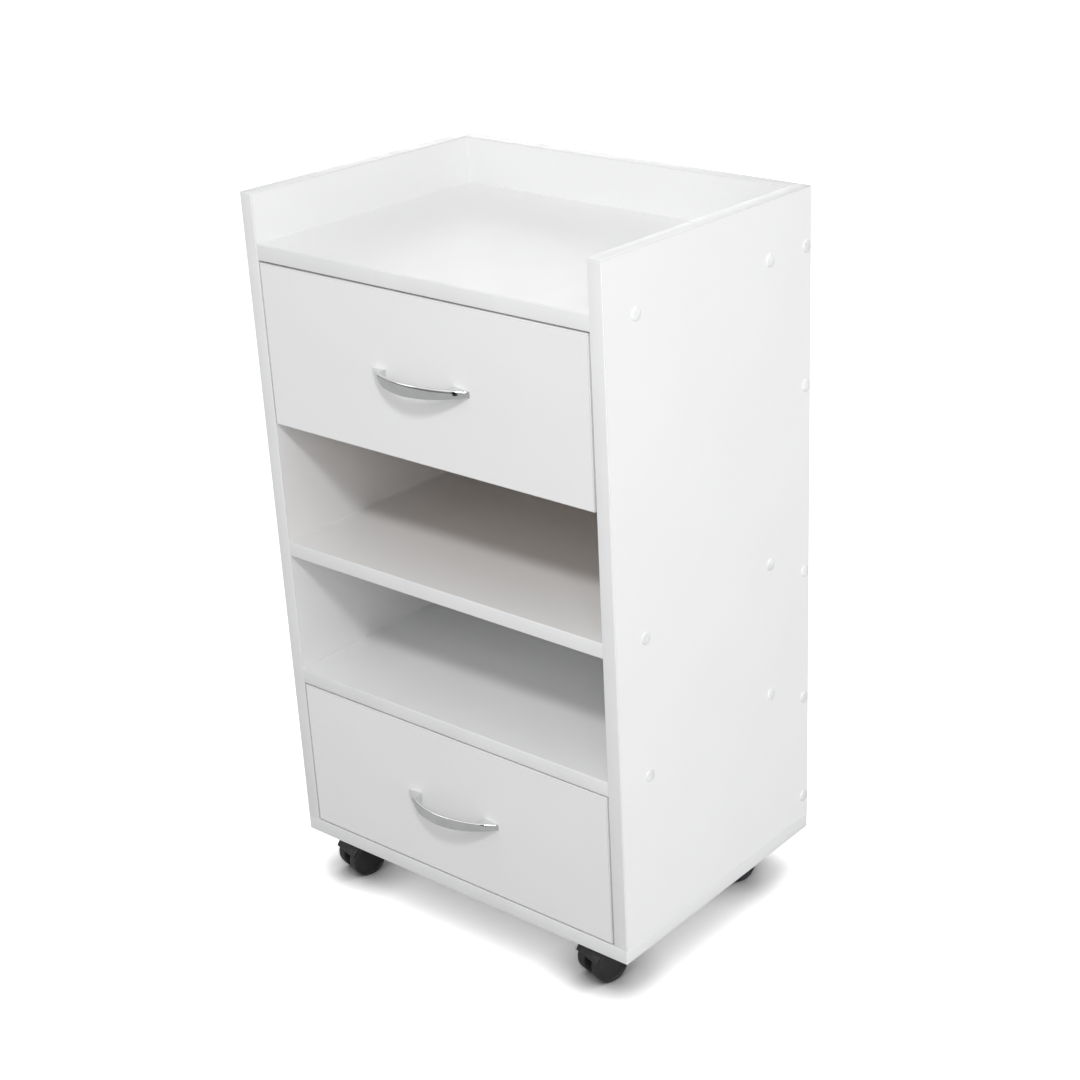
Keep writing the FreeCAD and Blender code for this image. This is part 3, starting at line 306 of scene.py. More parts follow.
def handling() -> bpy.types.NodeTree:
    """Uneven sheen and tone that hands, cloths and time leave.

    Returns:
        The group.
    """
    effect = Effect("handling", {"Scale": 9.0}, {"Tone": "Float", "Smudge": "Float"})
    graph = effect.graph
    tone = graph.span(graph.noise(effect.inputs["Scale"], 4.0), 0.3, 0.7)
    finer = graph.math("MULTIPLY", effect.inputs["Scale"], 3.0)
    wiped = graph.noise(finer, 5.0, graph.place((1.0, 1.0, 0.25)))
    return effect.give(Tone=tone, Smudge=graph.span(wiped, 0.42, 0.7))


def worn_edges() -> bpy.types.NodeTree:
    """A mask of the arrises, broken up.

    Returns:
        The group.
    """
    effect = Effect("worn_edges", {"Radius": 0.0006, "Breakup": 220.0}, {"Mask": "Float"})
    graph = effect.graph
    rounded = graph.node("ShaderNodeBevel", {"Radius": effect.inputs["Radius"]}, samples=4).outputs[0]
    flat = graph.node("ShaderNodeNewGeometry").outputs["Normal"]
    feeds = {0: rounded, 1: flat}
    meeting = graph.node("ShaderNodeVectorMath", feeds, operation="DOT_PRODUCT").outputs["Value"]
    edge = graph.span(meeting, 0.995, 0.85)
    broken = graph.span(graph.noise(effect.inputs["Breakup"], 4.0), 0.35, 0.65)
    return effect.give(Mask=graph.math("MULTIPLY", edge, broken))


def settled_dust() -> bpy.types.NodeTree:
    """Dust on what faces up, thicker in patches.

    Returns:
        The group.
    """
    effect = Effect("settled_dust", {"Scale": 60.0}, {"Mask": "Float"})
    graph = effect.graph
    normal = graph.node("ShaderNodeTexCoord").outputs["Normal"]
    up = graph.node("ShaderNodeSeparateXYZ", {0: normal}).outputs[2]
    patch = graph.span(graph.noise(effect.inputs["Scale"], 5.0), 0.35, 0.75)
    return effect.give(Mask=graph.math("MULTIPLY", graph.span(up, 0.2, 0.95), patch))


def chipboard() -> bpy.types.NodeTree:
    """Raw chipboard: pressed wood chips of several browns with dark gaps between them.

    Returns:
        The group.
    """
    effect = Effect("chipboard", {"Chips": 420.0}, {"Colour": "Color", "Height": "Float"})
    graph = effect.graph
    where = graph.place((1.0, 1.0, 1.6))
    feeds = {"Vector": where, "Scale": effect.inputs["Chips"], "Randomness": 1.0}
    chips = graph.node("ShaderNodeTexVoronoi", feeds)
    shade = graph.node("ShaderNodeSeparateColor", {0: chips.outputs["Color"]}).outputs[0]
    tone = graph.blend(shade, (0.34, 0.22, 0.12), (0.62, 0.46, 0.28))
    gap = graph.span(chips.outputs["Distance"], 0.55, 0.85)
    colour = graph.blend(gap, tone, (0.12, 0.075, 0.04))
    return effect.give(Colour=colour, Height=graph.math("SUBTRACT", shade, gap))


def drawn_lines() -> bpy.types.NodeTree:
    """Fine lines of rolled or drawn metal, along one axis.

    Returns:
        The group.
    """
    effect = Effect("drawn_lines", {"Scale": 900.0}, {"Height": "Float"})
    graph = effect.graph
    return effect.give(Height=graph.noise(effect.inputs["Scale"], 3.0, graph.place((1.0, 0.02, 1.0))))


class Effects:
    """The shared groups by name, each built at its first use."""

    MAKERS: tuple[Callable[[], bpy.types.NodeTree], ...] = (
        moulded_skin,
        handling,
        worn_edges,
        settled_dust,
        chipboard,
        drawn_lines,
    )

    @classmethod
    def use(cls, graph: Graph, name: str, **values: float) -> bpy.types.bpy_prop_collection:
        """Places a group in a material.

        Args:
            graph: The material's graph.
            name: The group's name.
            values: The group's inputs.

        Returns:
            The group's outputs.
        """
        tree = bpy.data.node_groups.get(name)
        if tree is None:
            tree = next(maker for maker in cls.MAKERS if maker.__name__ == name)()
        made = graph.node("ShaderNodeGroup", node_tree=tree)
        for label, value in values.items():
            made.inputs[label].default_value = value
        return made.outputs


# ---- finishes ---------------------------------------------------------------------------------------


class Finish:
    """A finish that makes one material, at its first use."""

    name: str

    def material(self) -> bpy.types.Material:
        """Finds or makes the material.

        Returns:
            The material that every piece with this finish shares.
        """
        found = bpy.data.materials.get(self.name)
        if found is not None:
            return found
        material, graph, shader = start_material(self.name)
        self.colour_in(graph, shader)
        return material

    def colour_in(self, graph: Graph, shader: bpy.types.Node) -> None:
        """Adds the finish's own nodes.

        Args:
            graph: The material's graph.
            shader: Its Principled shader.
        """
        raise NotImplementedError


def start_material(name: str) -> tuple[bpy.types.Material, Graph, bpy.types.Node]:
    """An empty material with its surface shader.

    Args:
        name: The material's name.

    Returns:
        The material, its graph and its Principled shader.
    """
    material = bpy.data.materials.new(name)
    material.use_nodes = True
    graph = Graph(material.node_tree)
    shader = graph.node("ShaderNodeBsdfPrincipled")
    graph.node("ShaderNodeOutputMaterial", {"Surface": shader.outputs[0]})
    return material, graph, shader


@dataclass(frozen=True)
class Laminate(Finish):
    """Melamine-faced chipboard: white pressed faces, raw chips on cut edges, white tape on top edges."""

    name: str
    faces: Axis
    taped: bool = False
    white: Colour = (0.83, 0.832, 0.835)
    roughness: float = 0.36

    def colour_in(self, graph: Graph, shader: bpy.types.Node) -> None:
        """The board's nodes.

        Args:
            graph: The material's graph.
            shader: Its Principled shader.
        """
        marks = Effects.use(graph, "handling")
        edges = Effects.use(graph, "worn_edges")
        skin = Effects.use(graph, "moulded_skin", Coarse=420.0, Fine=2600.0)
        core = Effects.use(graph, "chipboard")
        toned = graph.blend(graph.math("MULTIPLY", marks["Tone"], 0.5), self.white, self.darker(0.965))
        rubbed = graph.blend(graph.math("MULTIPLY", edges["Mask"], 0.4), toned, self.darker(0.9))
        cut = self.cut_faces(graph)
        graph.feed(shader.inputs["Base Color"], graph.blend(cut, rubbed, core["Colour"]))
        sheen = graph.math("MULTIPLY_ADD", marks["Smudge"], 0.07)
        sheen.node.inputs[2].default_value = self.roughness
        matt = graph.node("ShaderNodeMix", {0: cut, 2: sheen, 3: 0.85}, data_type="FLOAT").outputs[0]
        graph.feed(shader.inputs["Roughness"], matt)
        feeds = {"Strength": 0.12, "Distance": 0.00008, "Height": skin["Height"]}
        smooth = graph.node("ShaderNodeBump", feeds)
        chipped = graph.math("MULTIPLY", core["Height"], cut)
        feeds = {"Strength": 0.6, "Distance": 0.0003, "Height": chipped, "Normal": smooth.outputs[0]}
        graph.feed(shader.inputs["Normal"], graph.node("ShaderNodeBump", feeds).outputs[0])

    def darker(self, share: float) -> Colour:
        """The white, dimmed and a little warmer."""
        red, green, blue = self.white
        return red * share, green * share * 0.998, blue * share * 0.99

    def cut_faces(self, graph: Graph) -> bpy.types.NodeSocket:
        """A mask of the faces that a saw or drill left, less those with tape.

        Args:
            graph: The material's graph.

        Returns:
            The mask's socket.
        """
        normal = graph.node("ShaderNodeTexCoord").outputs["Normal"]
        feeds = {0: normal, 1: self.faces.value}
        across = graph.node("ShaderNodeVectorMath", feeds, operation="DOT_PRODUCT").outputs["Value"]
        cut = graph.math("LESS_THAN", graph.math("ABSOLUTE", across), 0.5)
        if not self.taped:
            return cut
        up = graph.node("ShaderNodeSeparateXYZ", {0: normal}).outputs[2]
        return graph.math("MULTIPLY", cut, graph.math("LESS_THAN", up, 0.5))


@dataclass(frozen=True)
class Banding(Finish):
    """White plastic edge banding, scraped smooth along its length."""

    name: str = "white_edge_band"
    white: Colour = (0.80, 0.803, 0.81)
    roughness: float = 0.3

    def colour_in(self, graph: Graph, shader: bpy.types.Node) -> None:
        """The banding's nodes.

        Args:
            graph: The material's graph.
            shader: Its Principled shader.
        """
        marks = Effects.use(graph, "handling", Scale=14.0)
        skin = Effects.use(graph, "moulded_skin", Coarse=700.0, Fine=3000.0)
        dim = tuple(channel * 0.95 for channel in self.white)
        graph.feed(shader.inputs["Base Color"], graph.blend(marks["Tone"], self.white, dim))
        graph.feed(shader.inputs["Roughness"], graph.span(marks["Smudge"], 0.0, 1.0, self.roughness, 0.42))
        bump = graph.node("ShaderNodeBump", {"Strength": 0.1, "Distance": 0.00006, "Height": skin["Height"]})
        graph.feed(shader.inputs["Normal"], bump.outputs[0])


@dataclass(frozen=True)
class Moulded(Finish):
    """Moulded plastic: fine skin, edges rubbed paler, dust on what faces up."""

    name: str
    colour: Colour
    rubbed: Colour
    roughness: float = 0.4
    skin: float = 0.25
    dust: float = 0.0

    def colour_in(self, graph: Graph, shader: bpy.types.Node) -> None:
        """The plastic's nodes.

        Args:
            graph: The material's graph.
            shader: Its Principled shader.
        """
        marks = Effects.use(graph, "handling", Scale=60.0)
        edges = Effects.use(graph, "worn_edges", Radius=0.0005, Breakup=900.0)
        skin = Effects.use(graph, "moulded_skin", Coarse=1500.0, Fine=6000.0)
        dust = Effects.use(graph, "settled_dust", Scale=160.0)
        dim = tuple(channel * 0.8 for channel in self.colour)
        toned = graph.blend(marks["Tone"], self.colour, dim)
        worn = graph.blend(graph.math("MULTIPLY", edges["Mask"], 0.5), toned, self.rubbed)
        grey = graph.blend(graph.math("MULTIPLY", dust["Mask"], self.dust), worn, (0.42, 0.41, 0.39))
        graph.feed(shader.inputs["Base Color"], grey)
        matt = graph.span(marks["Smudge"], 0.0, 1.0, self.roughness, self.roughness + 0.12)
        graph.feed(shader.inputs["Roughness"], matt)
        feeds = {"Strength": self.skin, "Distance": 0.00008, "Height": skin["Height"]}
        graph.feed(shader.inputs["Normal"], graph.node("ShaderNodeBump", feeds).outputs[0])


@dataclass(frozen=True)
class Hardboard(Finish):
    """Thin pressed fibreboard: white lacquer above, brown mesh-pressed fibre below and on its edges."""

    name: str = "drawer_hardboard"
    white: Colour = (0.76, 0.76, 0.745)
    brown: Colour = (0.25, 0.15, 0.08)

    def colour_in(self, graph: Graph, shader: bpy.types.Node) -> None:
        """The hardboard's nodes.

        Args:
            graph: The material's graph.
            shader: Its Principled shader.
        """
        marks = Effects.use(graph, "handling", Scale=12.0)
        skin = Effects.use(graph, "moulded_skin", Coarse=350.0, Fine=1800.0)
        normal = graph.node("ShaderNodeTexCoord").outputs["Normal"]
        up = graph.node("ShaderNodeSeparateXYZ", {0: normal}).outputs[2]
        lacquered = graph.math("GREATER_THAN", up, 0.5)
        pale_brown = tuple(channel * 1.7 for channel in self.brown)
        fibre = graph.blend(graph.noise(700.0, 5.0), self.brown, pale_brown)
        clean = graph.blend(marks["Tone"], self.white, tuple(channel * 0.95 for channel in self.white))
        graph.feed(shader.inputs["Base Color"], graph.blend(lacquered, fibre, clean))
        graph.feed(shader.inputs["Roughness"], graph.span(lacquered, 0.0, 1.0, 0.85, 0.42))
        feeds = {"Vector": graph.place(), "Scale": 800.0, "Randomness": 0.2}
        weave = graph.node("ShaderNodeTexVoronoi", feeds)
        rough = graph.math("MULTIPLY", weave.outputs["Distance"], graph.math("SUBTRACT", 1.0, lacquered))
        feeds = {"Strength": 0.4, "Distance": 0.0002, "Height": graph.math("ADD", rough, skin["Height"])}
        graph.feed(shader.inputs["Normal"], graph.node("ShaderNodeBump", feeds).outputs[0])


@dataclass(frozen=True)
class Metal(Finish):
    """Plated metal: faint lines, smudges and arrises worn brighter."""

    name: str
    colour: Colour
    roughness: float
    lines: float
    line_scale: float = 900.0

    def colour_in(self, graph: Graph, shader: bpy.types.Node) -> None:
        """The metal's nodes.

        Args:
            graph: The material's graph.
            shader: Its Principled shader.
        """
        marks = Effects.use(graph, "handling", Scale=40.0)
        edges = Effects.use(graph, "worn_edges", Radius=0.0003, Breakup=1200.0)
        drawn = Effects.use(graph, "drawn_lines", Scale=self.line_scale)
        dim = tuple(channel * 0.88 for channel in self.colour)
        bright = tuple(min(1.0, channel * 1.15) for channel in self.colour)
        toned = graph.blend(marks["Tone"], self.colour, dim)
        graph.feed(shader.inputs["Base Color"], graph.blend(edges["Mask"], toned, bright))
        shader.inputs["Metallic"].default_value = 1.0
        matt = graph.span(marks["Smudge"], 0.0, 1.0, self.roughness, self.roughness * 1.5)
        graph.feed(shader.inputs["Roughness"], matt)
        feeds = {"Strength": self.lines, "Distance": 0.00004, "Height": drawn["Height"]}
        graph.feed(shader.inputs["Normal"], graph.node("ShaderNodeBump", feeds).outputs[0])


BAND = Banding()
CAP = Moulded("white_cap", (0.87, 0.875, 0.875), (0.9, 0.9, 0.9), roughness=0.22, skin=0.1)
CHROME = Metal("bright_chrome", (0.79, 0.795, 0.80), roughness=0.07, lines=0.05, line_scale=500.0)
ZINC = Metal("zinc_plate", (0.60, 0.605, 0.60), roughness=0.32, lines=0.35)
SLIDE = Metal("rolled_zinc", (0.56, 0.57, 0.58), roughness=0.30, lines=0.5, line_scale=1400.0)
BALL = Metal("ball_steel", (0.68, 0.68, 0.69), roughness=0.14, lines=0.05)
HOOD = Moulded("black_hood", (0.018, 0.018, 0.019), (0.05, 0.05, 0.052), roughness=0.44, dust=0.07)
WHEEL = Moulded("black_wheel_plastic", (0.017, 0.017, 0.018), (0.045, 0.045, 0.044), roughness=0.4, dust=0.05)
HARDBOARD = Hardboard()


# ---- meshes -----------------------------------------------------------------------------------------


class Shell:
    """A mesh in the making, of closed shells."""

    def __init__(self) -> None:
        """Starts empty."""
        self.mesh = bmesh.new()

    def loft(self, rings: Sequence[Ring], around: bool = False) -> None:
        """Adds a closed shell through rings of as many points each.

        Args:
            rings: The rings in order.
            around: Whether the last ring joins the first; if not, both ends are closed.
        """
        rows = [[self.mesh.verts.new(point) for point in ring] for ring in rings]
        made = []
        count = len(rows)
        for i in range(count if around else count - 1):
            here, there = rows[i], rows[(i + 1) % count]
            for j in range(len(here)):
                k = (j + 1) % len(here)
                made.append(self.mesh.faces.new((here[j], here[k], there[k], there[j])))
        if not around:
            made.append(self.mesh.faces.new(rows[0]))
            made.append(self.mesh.faces.new(rows[-1]))
        bmesh.ops.recalc_face_normals(self.mesh, faces=made)

    def block(self, low: Vector, high: Vector, outward: Vector, radius: float, tight: float) -> None:
        """Adds a block whose outward face has well rounded edges and whose other edges are nearly sharp.

        Args:
            low: Lowest corner.
            high: Highest corner.
            outward: The direction that its outer face looks.
            radius: Radius along the outer face.
            tight: Radius of the other edges.
        """
        scratch = bmesh.new()
        bmesh.ops.create_cube(scratch, size=1.0)
        size = high - low
        middle = (high + low) / 2
        for vert in scratch.verts:
            vert.co = Vector(vert.co[i] * size[i] + middle[i] for i in range(3))
        outer = [e for e in scratch.edges if any(f.normal.dot(outward) > 0.9 for f in e.link_faces)]
        bmesh.ops.bevel(scratch, geom=outer, offset=radius, segments=4, profile=0.5, affect="EDGES")
        scratch.normal_update()
        sharp = [e for e in scratch.edges if e.calc_face_angle(0.0) > math.radians(60)]
        bmesh.ops.bevel(scratch, geom=sharp, offset=tight, segments=1, profile=0.5, affect="EDGES")
        spare = bpy.data.meshes.new("spare")
        scratch.to_mesh(spare)
        scratch.free()
        self.mesh.from_mesh(spare)
        bpy.data.meshes.remove(spare)

    def moved(self, placement: Matrix) -> Shell:
        """Moves everything made so far."""
        self.mesh.transform(placement)
        return self

    def piece(self, name: str, finish: Finish | None, smooth_below: float = 35.0) -> bpy.types.Object:
        """Finishes the mesh as an object at the origin.

        Args:
            name: The object's name.
            finish: Its finish, or none for a template.
            smooth_below: Edges that turn less than this many degrees are shaded smooth.

        Returns:
            The object, in the scene.
        """
        data = bpy.data.meshes.new(name)
        self.mesh.to_mesh(data)
        self.mesh.free()
        data.shade_smooth()
        data.set_sharp_from_angle(angle=math.radians(smooth_below))
        if finish is not None:
            data.materials.append(finish.material())
        made = bpy.data.objects.new(name, data)
        bpy.context.scene.collection.objects.link(made)
        return made


def circle(radius: float, height: float, count: int = 32) -> Ring:
    """Points round +Z at one height."""
    angles = [2 * math.pi * i / count for i in range(count)]
    return [Vector((radius * math.cos(a), radius * math.sin(a), height)) for a in angles]


def turned(profile: Sequence[tuple[float, float]], count: int = 32) -> list[Ring]:
    """Rings of a piece turned about +Z, from (radius, height) pairs."""
    return [circle(radius, height, count) for radius, height in profile]


def swept(section: Sequence[tuple[float, float]], start: float, sweep: float, count: int) -> list[Ring]:
    """A closed section of (along, radius) pairs, carried about the X axis.

    Args:
        section: The section's corners.
        start: First angle in radians, from +Y towards +Z.
        sweep: Angle covered.
        count: Rings over a partial sweep, or over a whole turn with no ring repeated.

    Returns:
        The rings.
    """
    whole = sweep > 2 * math.pi - 1e-6
    steps = count if whole else count - 1
    rings = []
    for i in range(count):
        angle = start + sweep * i / steps
        rings.append([Vector((a, r * math.cos(angle), r * math.sin(angle))) for a, r in section])
    return rings


def spun(profile: Sequence[tuple[float, float]], count: int) -> list[Ring]:
    """Rings of a piece turned about the X axis, from (along, radius) pairs."""
    angles = [math.tau * i / count for i in range(count)]
    return [[Vector((x, r * math.cos(a), r * math.sin(a))) for a in angles] for x, r in profile]


def rounded_corners(
    corners: Sequence[tuple[float, float]],
    radii: Sequence[float],
    steps: int = 4,
) -> list[tuple[float, float]]:
    """A polygon with its corners rounded by arcs.

    Args:
        corners: The corners in order.
        radii: A radius for each.
        steps: Points less one on each arc.

    Returns:
        The rounded outline.
    """
    made: list[tuple[float, float]] = []
    count = len(corners)
    for i, radius in enumerate(radii):
        here = Vector(corners[i])
        back = (Vector(corners[i - 1]) - here).normalized()
        ahead = (Vector(corners[(i + 1) % count]) - here).normalized()
        if radius <= 0.0:
            made.append((here.x, here.y))
            continue
        half = back.angle(ahead) / 2
        start = here + back * radius / math.tan(half)
        end = here + ahead * radius / math.tan(half)
        for j in range(steps + 1):
            t = j / steps
            point = start * (1 - t) ** 2 + here * 2 * t * (1 - t) + end * t ** 2
            made.append((point.x, point.y))
    return made


# ---- copies on points -------------------------------------------------------------------------------


@dataclass(frozen=True)
class Spot:
    """Where one copy of a repeated piece goes: its foot, and the way that its +Z and +Y look."""

    foot: Vector
    facing: Vector
    upright: Vector


class CopyTree:
    """The node tree that puts a copy of a piece on each point of a mesh."""

    NAME = "copies_on_points"

    @classmethod
    def tree(cls) -> bpy.types.NodeTree:
        """Finds or makes the tree.

        Returns:
            The tree that all copies share.
        """
        found = bpy.data.node_groups.get(cls.NAME)
        if found is not None:
            return found
        tree = bpy.data.node_groups.new(cls.NAME, "GeometryNodeTree")
        tree.is_modifier = True
        kinds = (
            ("Points", "Geometry"),
            ("Piece", "Object"),
            ("Finish", "Material"),
            ("Size", "Float"),
            ("Largest Turn", "Float"),
            ("Seed", "Int"),
        )
        for label, kind in kinds:
            tree.interface.new_socket(label, in_out="INPUT", socket_type=f"NodeSocket{kind}")
        tree.interface.new_socket("Copies", in_out="OUTPUT", socket_type="NodeSocketGeometry")
        cls.fill(Graph(tree))
        return tree

    @staticmethod
    def fill(graph: Graph) -> None:
        """Adds and joins the tree's nodes.

        Args:
            graph: The tree's graph.
        """
        given = graph.node("NodeGroupInput").outputs
        points = graph.node("GeometryNodeMeshToPoints", {"Mesh": given["Points"]}).outputs[0]
        ways = {}
        for label in ("facing", "upright"):
            named = graph.node("GeometryNodeInputNamedAttribute", data_type="FLOAT_VECTOR")
            named.inputs["Name"].default_value = label
            ways[label] = named.outputs["Attribute"]
        aim = graph.node("FunctionNodeAlignRotationToVector", {"Vector": ways["facing"]}, axis="Z")
        level = graph.node("FunctionNodeAlignRotationToVector", axis="Y", pivot_axis="Z")
        graph.feed(level.inputs["Rotation"], aim.outputs[0])
        graph.feed(level.inputs["Vector"], ways["upright"])
        chance = graph.node("FunctionNodeRandomValue", data_type="FLOAT")
        graph.feed(chance.inputs[3], given["Largest Turn"])
        graph.feed(chance.inputs["Seed"], given["Seed"])
        spin = graph.node("FunctionNodeAxisAngleToRotation", {"Axis": (0.0, 0.0, 1.0)})
        graph.feed(spin.inputs["Angle"], chance.outputs[1])
        turn = graph.node("FunctionNodeRotateRotation", rotation_space="LOCAL")
        graph.feed(turn.inputs["Rotation"], level.outputs[0])
        graph.feed(turn.inputs["Rotate By"], spin.outputs[0])
        piece = graph.node("GeometryNodeObjectInfo", {"Object": given["Piece"]}).outputs["Geometry"]
        copies = graph.node("GeometryNodeInstanceOnPoints", {"Points": points, "Instance": piece})
        graph.feed(copies.inputs["Rotation"], turn.outputs[0])
        graph.feed(copies.inputs["Scale"], given["Size"])
        real = graph.node("GeometryNodeRealizeInstances", {"Geometry": copies.outputs[0]}).outputs[0]
        dressed = graph.node("GeometryNodeSetMaterial", {"Geometry": real, "Material": given["Finish"]})
        graph.node("NodeGroupOutput", {"Copies": dressed.outputs[0]})


@dataclass
class Copies:
    """Copies of one template, realized as one plain mesh."""

    name: str
    template: bpy.types.Object
    spots: Sequence[Spot]
    finish: Finish
    largest_turn: float = 0.0
    seed: int = 7

    def build(self) -> bpy.types.Object:
        """Runs the tree on the spots and keeps the result as a plain mesh.

        Returns:
            The object with all the copies.
        """
        carrier = self.carrier()
        tree = CopyTree.tree()
        modifier = carrier.modifiers.new("copies", "NODES")
        modifier.node_group = tree
        values = {
            "Piece": self.template,
            "Finish": self.finish.material(),
            "Size": 1.0,
            "Largest Turn": self.largest_turn,
            "Seed": self.seed,
        }
        for item in tree.interface.items_tree:
            if item.in_out == "INPUT" and item.name in values:
                modifier[item.identifier] = values[item.name]
        carrier.update_tag()
        bpy.context.view_layer.update()
        graph = bpy.context.evaluated_depsgraph_get()
        data = bpy.data.meshes.new_from_object(carrier.evaluated_get(graph))
        data.name = self.name
        carrier.modifiers.remove(modifier)
        bpy.data.objects.remove(carrier)
        made = bpy.data.objects.new(self.name, data)
        bpy.context.scene.collection.objects.link(made)
        return made

    def carrier(self) -> bpy.types.Object:
        """Makes a mesh of bare points that carry the two directions.

        Returns:
            The object that the tree works on.
        """
        data = bpy.data.meshes.new(f"{self.name}_points")
        data.from_pydata([spot.foot for spot in self.spots], [], [])
        for label in ("facing", "upright"):
            attribute = data.attributes.new(label, "FLOAT_VECTOR", "POINT")
            for item, spot in zip(attribute.data, self.spots):
                item.vector = getattr(spot, label)
        made = bpy.data.objects.new(f"{self.name}_points", data)
        bpy.context.scene.collection.objects.link(made)
        return made


def drop(*objects: bpy.types.Object) -> None:
    """Removes templates that have done their work."""
    for thing in objects:
        bpy.data.objects.remove(thing)


# ---- what the frame says ----------------------------------------------------------------------------


@dataclass
class Frame:
    """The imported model, with its places read from boxes and joints."""

    loaded: dict[str, Any]

    def joint(self, name: str) -> dict[str, Any]:
        """A joint of the record by its name."""
        return next(joint for joint in self.loaded["joints"] if joint["name"] == name)

    def islands(self, node: str) -> list[tuple[Vector, Vector]]:
        """Boxes of the separate solids in a node.

        Args:
            node: The node's name.

        Returns:
            The lowest and highest corner of each, in the order of the node's mesh.
        """
        scratch = bmesh.new()
        scratch.from_mesh(self.loaded["nodes"][node].data)
        bmesh.ops.remove_doubles(scratch, verts=scratch.verts, dist=1e-6)
        left = set(scratch.verts)
        boxes = []
        while left:
            reached = [left.pop()]
            found = list(reached)
            while reached:
                vert = reached.pop()
                for edge in vert.link_edges:
                    other = edge.other_vert(vert)
                    if other in left:
                        left.remove(other)
                        reached.append(other)
                        found.append(other)
            low = Vector(min(v.co[i] for v in found) for i in range(3))
            high = Vector(max(v.co[i] for v in found) for i in range(3))
            boxes.append((low, high))
        scratch.free()
        return sorted(boxes, key=lambda pair: tuple(round(c, 5) for c in pair[0]))


# ---- cabinet ----------------------------------------------------------------------------------------


@dataclass
class Boards:
    """Every board of the carcass and the drawers, kept as the frame has them."""

    frame: Frame
    upright: tuple[str, ...] = ("left_side_panel", "right_side_panel")
    level: tuple[str, ...] = ("top_board", "middle_shelf", "lower_shelf", "bottom_board")

    def dress(self) -> None:
        """Gives each board the laminate for the way it lies."""
        sideways = Laminate("laminate_upright", Axis.X)
        facing = Laminate("laminate_facing", Axis.Y)
        flat = Laminate("laminate_level", Axis.Z)
        box_side = Laminate("laminate_box_side", Axis.X, taped=True)
        box_end = Laminate("laminate_box_end", Axis.Y, taped=True)
        finishes: dict[str, Finish] = {name: sideways for name in self.upright}
        finishes.update({name: flat for name in self.level})
        finishes["back_panel"] = facing
        for drawer in Drawer:
            finishes[f"{drawer.value}_drawer_front"] = facing
            finishes[f"{drawer.value}_drawer_bottom"] = HARDBOARD
            for side in ("left", "right"):
                finishes[f"{drawer.value}_drawer_{side}_side"] = box_side
            for end in ("inner_front", "back"):
                finishes[f"{drawer.value}_drawer_{end}"] = box_end
        for name, finish in finishes.items():
            dress_node(self.frame, name, finish)


def dress_node(frame: Frame, name: str, finish: Finish) -> None:
    """Puts a finish on a node of the frame.

    Args:
        frame: The frame.
        name: The node's name.
        finish: Its finish.
    """
    slots = frame.loaded["nodes"][name].data.materials
    slots.clear()
    slots.append(finish.material())
    LOG.info("dressed %s with %s", name, finish.name)


@dataclass
class CarcassBanding:
    """The rounded plastic banding of the carcass edges."""

    radius: float = 0.8 * MM
    tight: float = 0.16 * MM
    node: str = "carcass_edge_bands"

    def build(self) -> bpy.types.Object:
        """Strips along the fronts of all boards, the top edges and the ends of the bottom board.

        Returns:
            All strips as one piece.
        """
        shell = Shell()
        for low, high, outward in self.strips():
            shell.block(low, high, outward, self.radius, self.tight)
        made = shell.piece("edge_banding", BAND)
        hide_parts(self.node)
        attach(made, "cabinet")
        return made

    def strips(self) -> list[tuple[Vector, Vector, Vector]]:
        """Measures the strips.

        Returns:
            Lowest corner, highest corner and outward direction of each.
        """
        low_all, high_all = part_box(self.node)
        front = low_all.y
        forward = Axis.Y.vector(-1)
        up = Axis.Z.vector()
        strips = []
        for side in ("left", "right"):
            low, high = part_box(f"{side}_side_panel")
            strips.append((Vector((low.x, front, low.z)), Vector((high.x, low.y, high_all.z)), forward))
            strips.append((Vector((low.x, low.y, high.z)), Vector((high.x, high.y, high_all.z)), up))
        for name in ("top_board", "middle_shelf", "lower_shelf"):
            low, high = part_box(name)
            strips.append((Vector((low.x, front, low.z)), Vector((high.x, low.y, high.z)), forward))
        low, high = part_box("back_panel")
        strips.append((Vector((low.x, low.y, high.z)), Vector((high.x, high.y, high_all.z)), up))
        low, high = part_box("bottom_board")
        strips.append((Vector((low_all.x, front, low.z)), Vector((high_all.x, low.y, high.z)), forward))
        strips.append((Vector((low_all.x, low.y, low.z)), Vector((low.x, high.y, high.z)), Axis.X.vector(-1)))
        strips.append((Vector((high.x, low.y, low.z)), Vector((high_all.x, high.y, high.z)), Axis.X.vector()))
        return strips


